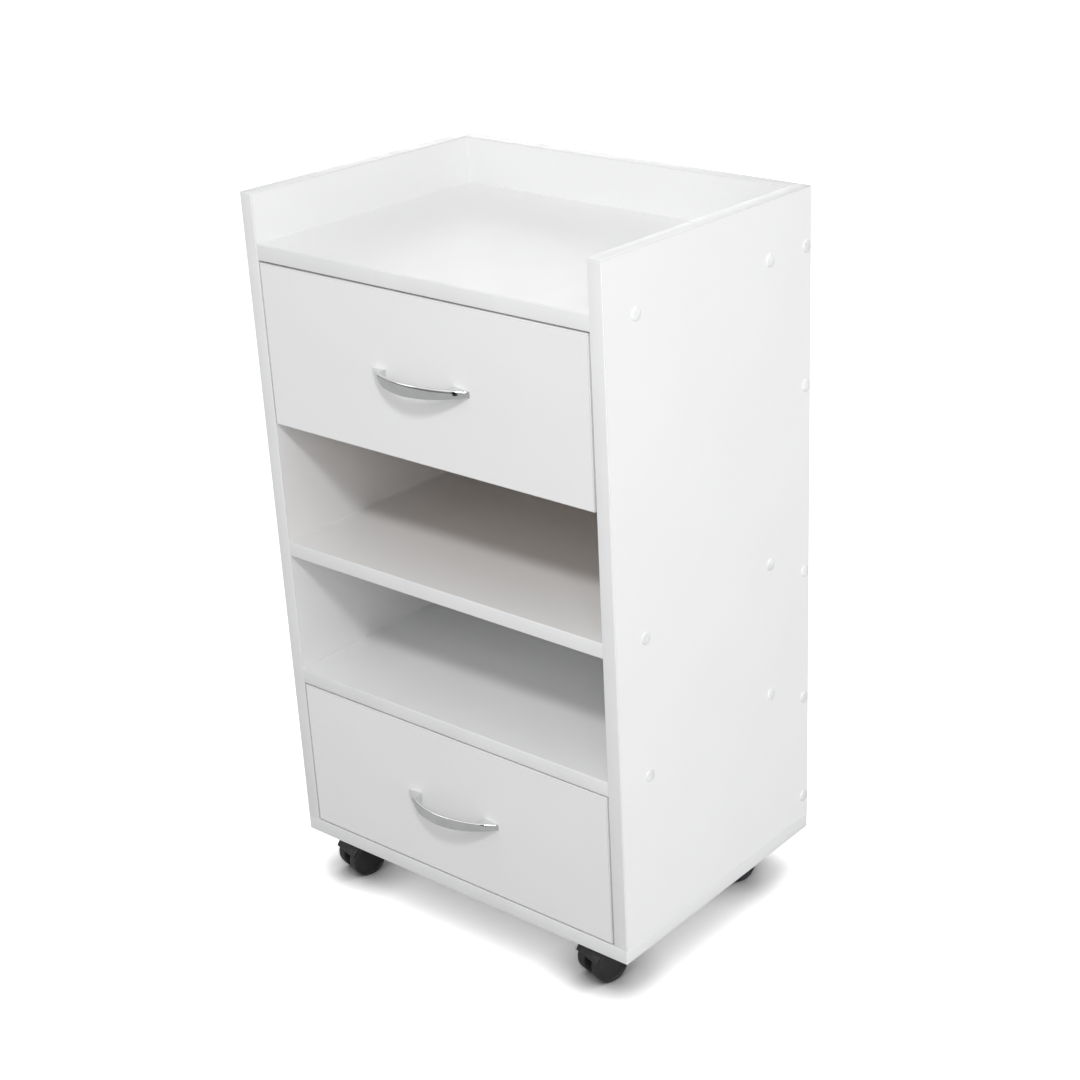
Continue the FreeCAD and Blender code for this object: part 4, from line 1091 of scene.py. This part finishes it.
@dataclass
class CoverCaps:
    """White caps over the panel screws of both sides: a low crown with a rolled rim."""

    frame: Frame
    rim: float = 0.35 * MM
    edge_share: float = 0.45
    dome_share: float = 0.93
    tip_share: float = 0.02
    node: str = "screw_caps"

    def build(self) -> bpy.types.Object:
        """Puts a cap on each panel screw's head.

        Returns:
            All caps as one piece.
        """
        spots = []
        radius = 0.0
        rise = 0.0
        for low, high in self.frame.islands(self.node):
            sign = 1 if low.x > 0 else -1
            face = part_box("right_side_panel")[1].x if sign > 0 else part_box("left_side_panel")[0].x
            centre = (low + high) / 2
            radius = (high.z - low.z) / 2
            rise = abs((high.x if sign > 0 else low.x) - face)
            spots.append(Spot(Vector((face, centre.y, centre.z)), Axis.X.vector(sign), Axis.Z.vector()))
        template = self.template(radius, rise)
        made = Copies("cover_caps", template, spots, CAP, largest_turn=math.tau).build()
        drop(template)
        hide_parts(self.node)
        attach(made, "cabinet")
        return made

    def template(self, radius: float, rise: float) -> bpy.types.Object:
        """One cap, standing on the origin.

        Args:
            radius: Its radius.
            rise: Its height.

        Returns:
            The template.
        """
        edge = rise * self.edge_share
        wide = radius * self.dome_share
        dome = [(wide * math.cos(a), edge + (rise - edge) * math.sin(a)) for a in quarter(9)[1:-1]]
        shell = Shell()
        tip = (radius * self.tip_share, rise)
        shell.loft(turned([(radius, 0.0), (radius - self.rim, edge), *dome, tip], 40))
        return shell.piece("cap_template", None, 60.0)


def quarter(count: int) -> list[float]:
    """Angles from 0 to a right angle."""
    return [math.pi / 2 * i / (count - 1) for i in range(count)]


@dataclass
class CrossScrew:
    """A domed screw head with a cross recess and the start of its shank."""

    head: float
    rise: float
    shank: float
    length: float
    recess: float = 0.42
    skirt: float = 0.25
    floor: float = 0.15
    arm: float = 0.075

    def template(self) -> bpy.types.Object:
        """One screw, its head above the origin and its shank below.

        Returns:
            The template.
        """
        radius = self.head / 2
        dome = []
        for angle in quarter(7)[:-1]:
            level = self.skirt + (1.0 - self.skirt) * math.sin(angle)
            dome.append((radius * math.cos(angle), self.rise * level))
        shell = Shell()
        tip = [(self.shank * 0.12, -self.length), (self.shank / 2, -self.length + self.shank * 0.8)]
        profile = [*tip, (self.shank / 2, 0.0), (radius, 0.0), *dome, (radius * 0.05, self.rise)]
        shell.loft(turned(profile, 28))
        made = shell.piece("screw_template", None)
        cutter = self.cross()
        cut = made.modifiers.new("recess", "BOOLEAN")
        cut.object = cutter
        cut.solver = "EXACT"
        cut.use_self = True
        bpy.context.view_layer.update()
        graph = bpy.context.evaluated_depsgraph_get()
        made.data = bpy.data.meshes.new_from_object(made.evaluated_get(graph))
        made.modifiers.clear()
        drop(cutter)
        return made

    def cross(self) -> bpy.types.Object:
        """Makes the tapered cross that cuts the recess.

        Returns:
            The cutter.
        """
        reach = self.head * self.recess / 1.6
        width = self.head * self.arm
        floor = self.rise * self.floor
        shell = Shell()
        for turn in (0.0, math.pi / 2):
            rings = []
            for share, level in ((0.25, floor), (1.0, self.rise * 1.2)):
                corners = ((-1, -1), (1, -1), (1, 1), (-1, 1))
                taper = 0.6 + 0.4 * share
                flat = [Vector((i * reach * share, j * width * taper, level)) for i, j in corners]
                rings.append([Matrix.Rotation(turn, 3, "Z") @ point for point in flat])
            shell.loft(rings)
        return shell.piece("cross_template", None)


@dataclass
class CrossScrews:
    """All cross-head screws of one node, rebuilt with their recesses."""

    frame: Frame
    node: str
    body: str
    driven: Driven
    rise_share: float = 0.21875
    shank_share: float = 0.53
    seed: int = 3

    def build(self) -> bpy.types.Object:
        """Puts a detailed screw in place of each solid of the node.

        Returns:
            All screws as one piece.
        """
        boxes = self.frame.islands(self.node)
        low, high = boxes[0]
        direction = self.direction(low)
        size = high - low
        along = max(range(3), key=lambda i: abs(direction[i]))
        head = max(size[i] for i in range(3) if i != along)
        length = size[along]
        rise = head * self.rise_share
        screw = CrossScrew(head, rise, head * self.shank_share, length - rise)
        template = screw.template()
        spots = [self.spot(low, high, screw.rise) for low, high in boxes]
        name = self.node.replace("screws", "cross_screws")
        made = Copies(name, template, spots, ZINC, math.tau, self.seed).build()
        drop(template)
        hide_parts(self.node)
        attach(made, self.body)
        return made

    def direction(self, low: Vector) -> Vector:
        """The way that the screw with this lowest corner is driven."""
        return self.driven.direction(1 if low.x > 0 else -1)

    def spot(self, low: Vector, high: Vector, rise: float) -> Spot:
        """Where one screw stands: on its seat, facing out of the piece that it holds.

        Args:
            low: Lowest corner of the solid.
            high: Highest corner.
            rise: Height of the head.

        Returns:
            The spot.
        """
        direction = self.direction(low)
        middle = (low + high) / 2
        half = (high - low) / 2
        out = -direction
        reach = sum(abs(out[i]) * half[i] for i in range(3))
        upright = Axis.Y.vector() if abs(out.z) > 0.5 else Axis.Z.vector()
        return Spot(middle + out * (reach - rise), out, upright)


# ---- drawers ----------------------------------------------------------------------------------------


@dataclass
class FrontBanding:
    """The rounded banding round one drawer front."""

    drawer: Drawer
    radius: float = 0.8 * MM
    tight: float = 0.16 * MM

    def build(self) -> bpy.types.Object:
        """Puts four strips round the front's core.

        Returns:
            The strips as one piece.
        """
        name = self.drawer.value
        node = f"{name}_front_bands"
        low_all, high_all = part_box(node)
        low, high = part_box(f"{name}_drawer_front")
        back = high_all.y
        front = low_all.y
        shell = Shell()
        strips = (
            ((low_all.x, low_all.z), (high_all.x, low.z), Axis.Z.vector(-1)),
            ((low_all.x, high.z), (high_all.x, high_all.z), Axis.Z.vector()),
            ((low_all.x, low.z), (low.x, high.z), Axis.X.vector(-1)),
            ((high.x, low.z), (high_all.x, high.z), Axis.X.vector()),
        )
        for first, last, outward in strips:
            corner = Vector((first[0], front, first[1]))
            other = Vector((last[0], back, last[1]))
            shell.block(corner, other, outward, self.radius, self.tight)
        made = shell.piece(f"{name}_front_banding", BAND)
        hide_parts(node)
        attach(made, f"{name}_drawer")
        return made


@dataclass
class BowHandle:
    """A cast bow handle: a strap that swells to its middle and runs out into two feet on the drawer front."""

    drawer: Drawer
    strap: float = 4.0 * MM
    foot: float = 44.0 * MM
    tip_height: float = 6.0 * MM
    middle_height: float = 13.0 * MM
    fillet: float = 3.0 * MM
    crown: float = 0.9 * MM
    tip_gap: float = 0.35 * MM
    thinnest: float = 0.15 * MM
    edge: float = 1.3 * MM
    foot_edge: float = 0.1 * MM
    stations: int = 121
    around: int = 9

    def __post_init__(self) -> None:
        """Reads the handle's place and size from its node."""
        self.node = f"{self.drawer.value}_handle"
        low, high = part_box(self.node)
        self.half = (high.x - low.x) / 2
        self.reach = high.y - low.y
        self.radius = (self.half ** 2 + self.reach ** 2) / (2 * self.reach)
        self.centre = Vector(((low.x + high.x) / 2, high.y, (low.z + high.z) / 2))

    def build(self) -> bpy.types.Object:
        """Makes the handle on its drawer front.

        Returns:
            The handle.
        """
        shell = Shell()
        ends = self.half - self.tip_gap
        shell.loft([self.ring(ends * math.sin(math.pi / 2 * t)) for t in self.shares()])
        made = shell.piece(f"{self.node}_cast", CHROME, 50.0)
        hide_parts(self.node)
        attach(made, f"{self.drawer.value}_drawer")
        return made

    def shares(self) -> list[float]:
        """Shares of the way along, closer together towards the feet."""
        return [-1 + 2 * i / (self.stations - 1) for i in range(self.stations)]

    def outer(self, x: float) -> float:
        """How far the outer face stands off the front."""
        return math.sqrt(self.radius ** 2 - x ** 2) - (self.radius - self.reach)

    def inner(self, x: float) -> float:
        """How far the inner face stands off the front: the strap's, falling to the front at the feet.

        Args:
            x: Distance from the middle.

        Returns:
            The distance from the drawer front.
        """
        inside = math.sqrt((self.radius - self.strap) ** 2 - x ** 2) - (self.radius - self.reach)
        start = self.foot - self.fillet
        if abs(x) <= start:
            return inside
        if abs(x) >= self.foot:
            return 0.0
        share = (abs(x) - start) / self.fillet
        return max(0.0, inside) * (1 - share ** 2) ** 0.5

    def height(self, x: float) -> float:
        """Height of the strap, along the leaf's two arcs.

        Args:
            x: Distance from the middle.

        Returns:
            The height.
        """
        rise = (self.middle_height - self.tip_height) / 2
        arc = (self.half ** 2 + rise ** 2) / (2 * rise)
        return self.middle_height - 2 * (arc - math.sqrt(arc ** 2 - x ** 2))

    def ring(self, x: float) -> Ring:
        """The section at one place: a rounded block, its outer face a little crowned.

        Args:
            x: Distance from the middle.

        Returns:
            The section's points.
        """
        out = self.outer(x)
        back = min(self.inner(x), out - self.thinnest)
        tall = self.height(x) / 2
        deep = out - back
        radius = min(self.edge, deep * 0.45)
        corners = ((-tall, -out), (tall, -out), (tall, -back), (-tall, -back))
        small = radius if back > 2 * self.foot_edge else self.foot_edge
        outline = rounded_corners(corners, (radius, radius, small, small), self.around)
        flat = tall - radius
        face = [(flat * share, -out) for share in (-0.75, -0.5, -0.25, 0.0, 0.25, 0.5, 0.75)]
        outline[self.around + 1:self.around + 1] = face
        crown = min(self.crown, deep * 0.25)
        points = []
        for z, y in outline:
            fall = crown * (z / tall) ** 2 * max(0.0, (-y - back) / deep)
            points.append(self.centre + Vector((x, y + fall, z)))
        return points


# ---- castors ----------------------------------------------------------------------------------------


@dataclass
class Castor:
    """One twin-wheel castor: hood, wheels and what joins them."""

    frame: Frame
    corner: str
    wheel_radius: float = 20.0 * MM
    wheel_width: float = 12.0 * MM
    core: float = 11.4 * MM
    play: float = 0.3 * MM
    trail: float = 17.0 * MM
    hood_gap: float = 1.2 * MM
    hood_sheet: float = 1.8 * MM
    hood_start: float = math.radians(-12)
    hood_sweep: float = math.radians(168)
    boss_radius: float = 5.7 * MM
    stem_bore: float = 3.75 * MM
    axle_bore: float = 2.55 * MM
    web_inner: float = 5.6 * MM
    boss_top: float = 6.0 * MM
    socket_foot: float = 24.3 * MM
    socket_floor: float = 29.7 * MM
    socket_drain: float = 0.6 * MM
    brow_drop: float = 4.3 * MM
    shoulder: float = 2.0 * MM

    def __post_init__(self) -> None:
        """Reads the castor's place and turn from its joints."""
        swivel = self.frame.joint(f"{self.corner}_swivel")
        axle = self.frame.joint(f"{self.corner}_right_wheel_spin")
        x, y, self.top = swivel["pos_m"]
        turn = math.atan2(axle["axis"][1], axle["axis"][0])
        self.stand = Matrix.Translation((x, y, 0.0)) @ Matrix.Rotation(turn, 4, "Z")
        self.hub = self.stand @ Matrix.Translation((0.0, -self.trail, axle["pos_m"][2]))

    def build(self) -> list[bpy.types.Object]:
        """The hood and both wheels."""
        return [self.hood(), self.wheel("left", -1), self.wheel("right", 1)]

    def hood(self) -> bpy.types.Object:
        """Makes the canopy, the web between the wheels, the axle boss and the stem's socket.

        Returns:
            The hood.
        """
        node = f"{self.corner}_castor_hood"
        inner = self.wheel_radius + self.hood_gap
        outer = inner + self.hood_sheet
        half = self.core / 2 + self.play + self.wheel_width
        shell = Shell()
        roof = ((-half, inner), (half, inner), (half, outer), (-half, outer))
        section = rounded_corners(roof, (0.3 * MM, 0.3 * MM, 1.1 * MM, 1.1 * MM))
        shell.loft(swept(section, self.hood_start, self.hood_sweep, 57))
        side = self.core / 2
        web = ((-side, self.web_inner), (side, self.web_inner), (side, inner), (-side, inner))
        shell.loft(swept(web, self.hood_start, self.hood_sweep, 41))
        bore, crest = self.axle_bore, self.boss_top
        boss = ((-side, bore), (side, bore), (side, crest), (-side, crest))
        section = rounded_corners(boss, (0.0, 0.0, 0.4 * MM, 0.4 * MM))
        shell.loft(swept(section, 0.0, math.tau, 40), around=True)
        shell.moved(Matrix.Translation((0.0, -self.trail, self.hub.translation.z)))
        brow = self.top - self.brow_drop
        socket = (
            (self.stem_bore, self.socket_floor),
            (self.stem_bore, brow),
            (self.boss_radius, brow),
            (self.boss_radius, self.socket_foot),
            (self.socket_drain, self.socket_foot),
            (self.socket_drain, self.socket_floor),
        )
        shell.loft(self.upright_ring(socket), around=True)
        made = shell.moved(self.stand).piece(f"{node}_moulded", HOOD, 30.0)
        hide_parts(node)
        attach(made, f"{self.corner}_castor")
        return made

    @staticmethod
    def upright_ring(section: Sequence[tuple[float, float]], count: int = 36) -> list[Ring]:
        """A closed section carried round +Z.

        Args:
            section: The section's corners, as (radius, height) pairs.
            count: Rings over the whole turn.

        Returns:
            The rings.
        """
        rings = []
        for i in range(count):
            angle = math.tau * i / count
            rings.append([Vector((r * math.cos(angle), r * math.sin(angle), h)) for r, h in section])
        return rings

    def wheel(self, side: str, sign: int) -> bpy.types.Object:
        """One wheel: crowned tread with a mould line, rolled rim and a smooth, slightly domed cover.

        Args:
            side: Left or right.
            sign: -1 for the left wheel and 1 for the right.

        Returns:
            The wheel.
        """
        node = f"{self.corner}_{side}_wheel"
        r, w, b = self.wheel_radius, self.wheel_width, self.axle_bore
        inside = [(w - 1.3 * MM, b), (0.0, b), (0.0, r - self.shoulder)]
        tread = [(0.25 * MM, r - 1.0 * MM), (1.0 * MM, r - 0.3 * MM), (2.2 * MM, r), (w * 0.47, r)]
        seam = [(w * 0.485, r - 0.2 * MM), (w * 0.515, r - 0.2 * MM)]
        mirrored = [(w - along, radius) for along, radius in reversed(tread)]
        rolled = [(w - 0.6 * MM, r - 3.0 * MM), (w - 0.8 * MM, r - 3.4 * MM)]
        rim = [(w, r - self.shoulder), (w, r - 2.7 * MM), *rolled]
        steps = [i / 6 for i in range(7)]
        cover = [(w - 0.7 * MM * s ** 2, (r - 3.8 * MM) * s + 0.2 * MM) for s in reversed(steps)]
        shell = Shell()
        shell.loft(spun([*inside, *tread, *seam, *mirrored, *rim, *cover], 72))
        start = Matrix.Translation((sign * (self.core / 2 + self.play), 0.0, 0.0))
        outward = Matrix.Identity(4) if sign > 0 else Matrix.Rotation(math.pi, 4, "Z")
        made = shell.moved(self.hub @ start @ outward).piece(f"{node}_moulded", WHEEL, 40.0)
        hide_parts(node)
        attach(made, node)
        return made


# ---- metal of the frame -----------------------------------------------------------------------------


@dataclass
class FrameMetal:
    """Slides, plates, axles and sunk screws, kept as the frame has them."""

    frame: Frame
    corners: tuple[str, ...]

    def dress(self) -> None:
        """Puts the metal finishes on."""
        for drawer in Drawer:
            name = drawer.value
            for rail in ("cabinet_rails", "middle_rails", "drawer_rails"):
                dress_node(self.frame, f"{name}_{rail}", SLIDE)
            dress_node(self.frame, f"{name}_ball_cages", BALL)
            dress_node(self.frame, f"{name}_box_screws", ZINC)
        for name in ("panel_screws", "castor_plates"):
            dress_node(self.frame, name, ZINC)
        for corner in self.corners:
            dress_node(self.frame, f"{corner}_castor_axle", ZINC)


# ---- studio -----------------------------------------------------------------------------------------


@dataclass(frozen=True)
class SoftBox:
    """A round area light that looks at the middle of the object and lights the object alone."""

    name: str
    direction: tuple[float, float, float]
    distance: float
    size: float
    power: float

    def build(self, middle: Vector, lit: bpy.types.Collection) -> bpy.types.Object:
        """Sets the light up.

        Args:
            middle: The point that it looks at.
            lit: The pieces that it lights.

        Returns:
            The light's object.
        """
        data = bpy.data.lights.new(self.name, "AREA")
        data.shape = "DISK"
        data.size = self.size
        data.energy = self.power
        made = bpy.data.objects.new(self.name, data)
        away = Vector(self.direction).normalized()
        made.location = middle + away * self.distance
        made.rotation_euler = (-away).to_track_quat("-Z", "Y").to_euler()
        bpy.context.scene.collection.objects.link(made)
        made.light_linking.receiver_collection = lit
        return made


@dataclass
class Studio:
    """Pale floor, soft lights and the camera."""

    lights: tuple[SoftBox, ...] = (
        SoftBox("key_light", (0.400, -0.580, 0.710), 2.6, 0.3, 21.5),
        SoftBox("second_key", (0.632, -0.492, 0.596), 2.6, 0.3, 2.5),
        SoftBox("camera_side_fill", (0.547, -0.727, 0.413), 2.4, 0.8, 6.2),
        SoftBox("right_fill", (0.992, -0.050, 0.119), 2.4, 1.2, 16.2),
        SoftBox("left_fill", (-0.537, -0.716, 0.447), 2.4, 1.2, 3.6),
        SoftBox("rear_fill", (-0.645, 0.737, 0.200), 2.6, 1.4, 9.0),
    )
    ambient: float = 0.59
    middle: tuple[float, float, float] = (0.0, 0.0, 0.4)
    gloss_heights: tuple[float, float] = (0.05, 0.6)
    gloss_strengths: tuple[float, float] = (0.2, 1.1)
    camera_place: tuple[float, float, float] = (1.2784, -1.4159, 1.2212)
    camera_azimuth: float = 36.96
    camera_fall: float = 24.42
    camera_roll: float = -1.018
    camera_lens: float = 66.78
    camera_shift: tuple[float, float] = (-0.1481, 0.0324)
    flag_box: tuple[tuple[float, float, float], ...] = ((0.68, -1.50, 0.0), (0.82, -1.42, 1.5))
    floor_reach: float = 14.0
    floor_lift: float = 3.0
    # Reach and depth of the painted contact shadow on the floor.
    painted_shadow_reach: float = 0.055
    painted_shadow_depth: float = 1.5
    floor_sheet: float = 0.02
    floor_tone: float = 0.86
    card_tone: float = 0.01
    backdrop: float = 1.05
    sensor: float = 36.0
    clip: tuple[float, float] = (0.05, 60.0)

    def build(self) -> None:
        """Floor, world, lights and camera."""
        pieces = bpy.data.collections.new("object_pieces")
        bpy.context.scene.collection.children.link(pieces)
        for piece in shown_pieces():
            pieces.objects.link(piece)
        self.floor()
        self.flag()
        self.world()
        for light in self.lights:
            light.build(Vector(self.middle), pieces)
        self.camera()

    def floor(self) -> None:
        """A round pale floor, brighter to the eye than to the light it throws back, with a painted contact
        shadow where the cabinet stands close.
        """
        shell = Shell()
        shell.loft([circle(self.floor_reach, -self.floor_sheet, 96), circle(self.floor_reach, 0.0, 96)])
        made = shell.piece("studio_floor", None)
        material = bpy.data.materials.new("pale_floor")
        material.use_nodes = True
        graph = Graph(material.node_tree)
        pale = (self.floor_tone, self.floor_tone, self.floor_tone, 1.0)
        bounced = graph.node("ShaderNodeBsdfDiffuse", {"Color": pale}).outputs[0]
        # Painted contact shadow: an occlusion node darkens the floor that the camera sees where the cabinet
        # stands close.
        near = graph.node("ShaderNodeAmbientOcclusion", {"Distance": self.painted_shadow_reach}, samples=8)
        unshadowed_share = graph.math("POWER", near.outputs["AO"], self.painted_shadow_depth)
        bright = graph.math("MULTIPLY", unshadowed_share, self.floor_lift)
        shade = graph.node("ShaderNodeCombineColor", {0: bright, 1: bright, 2: bright}).outputs[0]
        lifted = graph.node("ShaderNodeBsdfDiffuse", {"Color": shade}).outputs[0]
        seen = graph.node("ShaderNodeLightPath").outputs["Is Camera Ray"]
        shown = graph.node("ShaderNodeMixShader", {0: seen, 1: bounced, 2: lifted}).outputs[0]
        graph.node("ShaderNodeOutputMaterial", {"Surface": shown})
        made.data.materials.append(material)
        made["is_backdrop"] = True

    def flag(self) -> None:
        """A dark card beside the camera that only gloss sees; it gives the chrome its dark lines."""
        low, high = (Vector(corner) for corner in self.flag_box)
        shell = Shell()
        shell.block(low, high, Axis.Z.vector(), 1.0 * MM, 0.5 * MM)
        made = shell.piece("studio_flag", None)
        material = bpy.data.materials.new("dark_card")
        material.use_nodes = True
        graph = Graph(material.node_tree)
        dark = (self.card_tone, self.card_tone, self.card_tone, 1.0)
        card = graph.node("ShaderNodeBsdfDiffuse", {"Color": dark}).outputs[0]
        graph.node("ShaderNodeOutputMaterial", {"Surface": card})
        made.data.materials.append(material)
        made.visible_camera = False
        made.visible_diffuse = False
        made.visible_shadow = False
        made.visible_transmission = False
        made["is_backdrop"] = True

    def world(self) -> None:
        """A white backdrop that lights the object softly; gloss sees it darken towards the horizon."""
        world = bpy.data.worlds.new("studio")
        bpy.context.scene.world = world
        world.use_nodes = True
        graph = Graph(world.node_tree)
        plain = (1.0, 1.0, 1.0, 1.0)
        way = graph.node("ShaderNodeTexCoord").outputs["Generated"]
        height = graph.node("ShaderNodeSeparateXYZ", {0: way}).outputs[2]
        rays = graph.node("ShaderNodeLightPath").outputs
        glossy = graph.span(height, *self.gloss_heights, *self.gloss_strengths)
        feeds = {0: rays["Is Glossy Ray"], 2: self.ambient, 3: glossy}
        strength = graph.node("ShaderNodeMix", feeds).outputs[0]
        dim = graph.node("ShaderNodeBackground", {"Color": plain, "Strength": strength})
        white = graph.node("ShaderNodeBackground", {"Color": plain, "Strength": self.backdrop})
        feeds = {0: rays["Is Camera Ray"], 1: dim.outputs[0], 2: white.outputs[0]}
        shown = graph.node("ShaderNodeMixShader", feeds)
        graph.node("ShaderNodeOutputWorld", {"Surface": shown.outputs[0]})

    def camera(self) -> None:
        """The camera, front right and above, held almost level."""
        data = bpy.data.cameras.new("camera")
        data.lens = self.camera_lens
        data.sensor_width = self.sensor
        data.shift_x, data.shift_y = self.camera_shift
        data.clip_start, data.clip_end = self.clip
        made = bpy.data.objects.new("camera", data)
        tilt = Matrix.Rotation(math.radians(90.0 - self.camera_fall), 4, "X")
        roll = Matrix.Rotation(math.radians(self.camera_roll), 4, "Z")
        turn = Matrix.Rotation(math.radians(self.camera_azimuth), 4, "Z")
        made.matrix_world = Matrix.Translation(self.camera_place) @ turn @ tilt @ roll
        bpy.context.scene.collection.objects.link(made)
        bpy.context.scene.camera = made
        bpy.context.scene.view_settings.view_transform = "Standard"


# ---- whole ------------------------------------------------------------------------------------------


@dataclass
class ManicureTable:
    """The whole piece of furniture, built sub-assembly by sub-assembly."""

    frame: Frame
    corners: tuple[str, ...] = ("front_left", "front_right", "rear_left", "rear_right")

    def build(self) -> None:
        """Dresses the frame and builds what replaces parts of it."""
        Boards(self.frame).dress()
        FrameMetal(self.frame, self.corners).dress()
        self.report(CarcassBanding().build())
        self.report(CoverCaps(self.frame).build())
        self.report(self.cabinet_screws())
        self.report(self.castor_screws())
        for drawer in Drawer:
            self.report(FrontBanding(drawer).build())
            self.report(BowHandle(drawer).build())
            for screws in self.drawer_screws(drawer):
                self.report(screws)
        for corner in self.corners:
            for piece in Castor(self.frame, corner).build():
                self.report(piece)

    @staticmethod
    def report(piece: bpy.types.Object) -> None:
        """Reports a finished piece."""
        LOG.info("built %s: %d faces", piece.name, len(piece.data.polygons))

    def cabinet_screws(self) -> bpy.types.Object:
        """The screws that hold the cabinet rails, driven outwards into the sides."""
        return CrossScrews(self.frame, "cabinet_rail_screws", "cabinet", Driven.OUTWARDS).build()

    def castor_screws(self) -> bpy.types.Object:
        """The screws that hold the castor plates, driven up into the bottom board."""
        return CrossScrews(self.frame, "castor_screws", "cabinet", Driven.UPWARDS, seed=11).build()

    def drawer_screws(self, drawer: Drawer) -> list[bpy.types.Object]:
        """The rail screws, driven inwards, and the handle screws, driven forwards, of one drawer.

        Args:
            drawer: The drawer.

        Returns:
            Both sets.
        """
        name = drawer.value
        body = f"{name}_drawer"
        rails = CrossScrews(self.frame, f"{name}_rail_screws", body, Driven.INWARDS, seed=5)
        handle = CrossScrews(self.frame, f"{name}_handle_screws", body, Driven.FORWARDS, 0.275, 0.5, seed=9)
        return [rails.build(), handle.build()]


def main() -> None:
    """Loads the frame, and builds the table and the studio."""
    logging.basicConfig(level=logging.INFO, format="%(message)s")
    frame = Frame(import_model())
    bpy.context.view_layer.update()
    ManicureTable(frame).build()
    Studio().build()


if __name__ == "__main__":
    main()
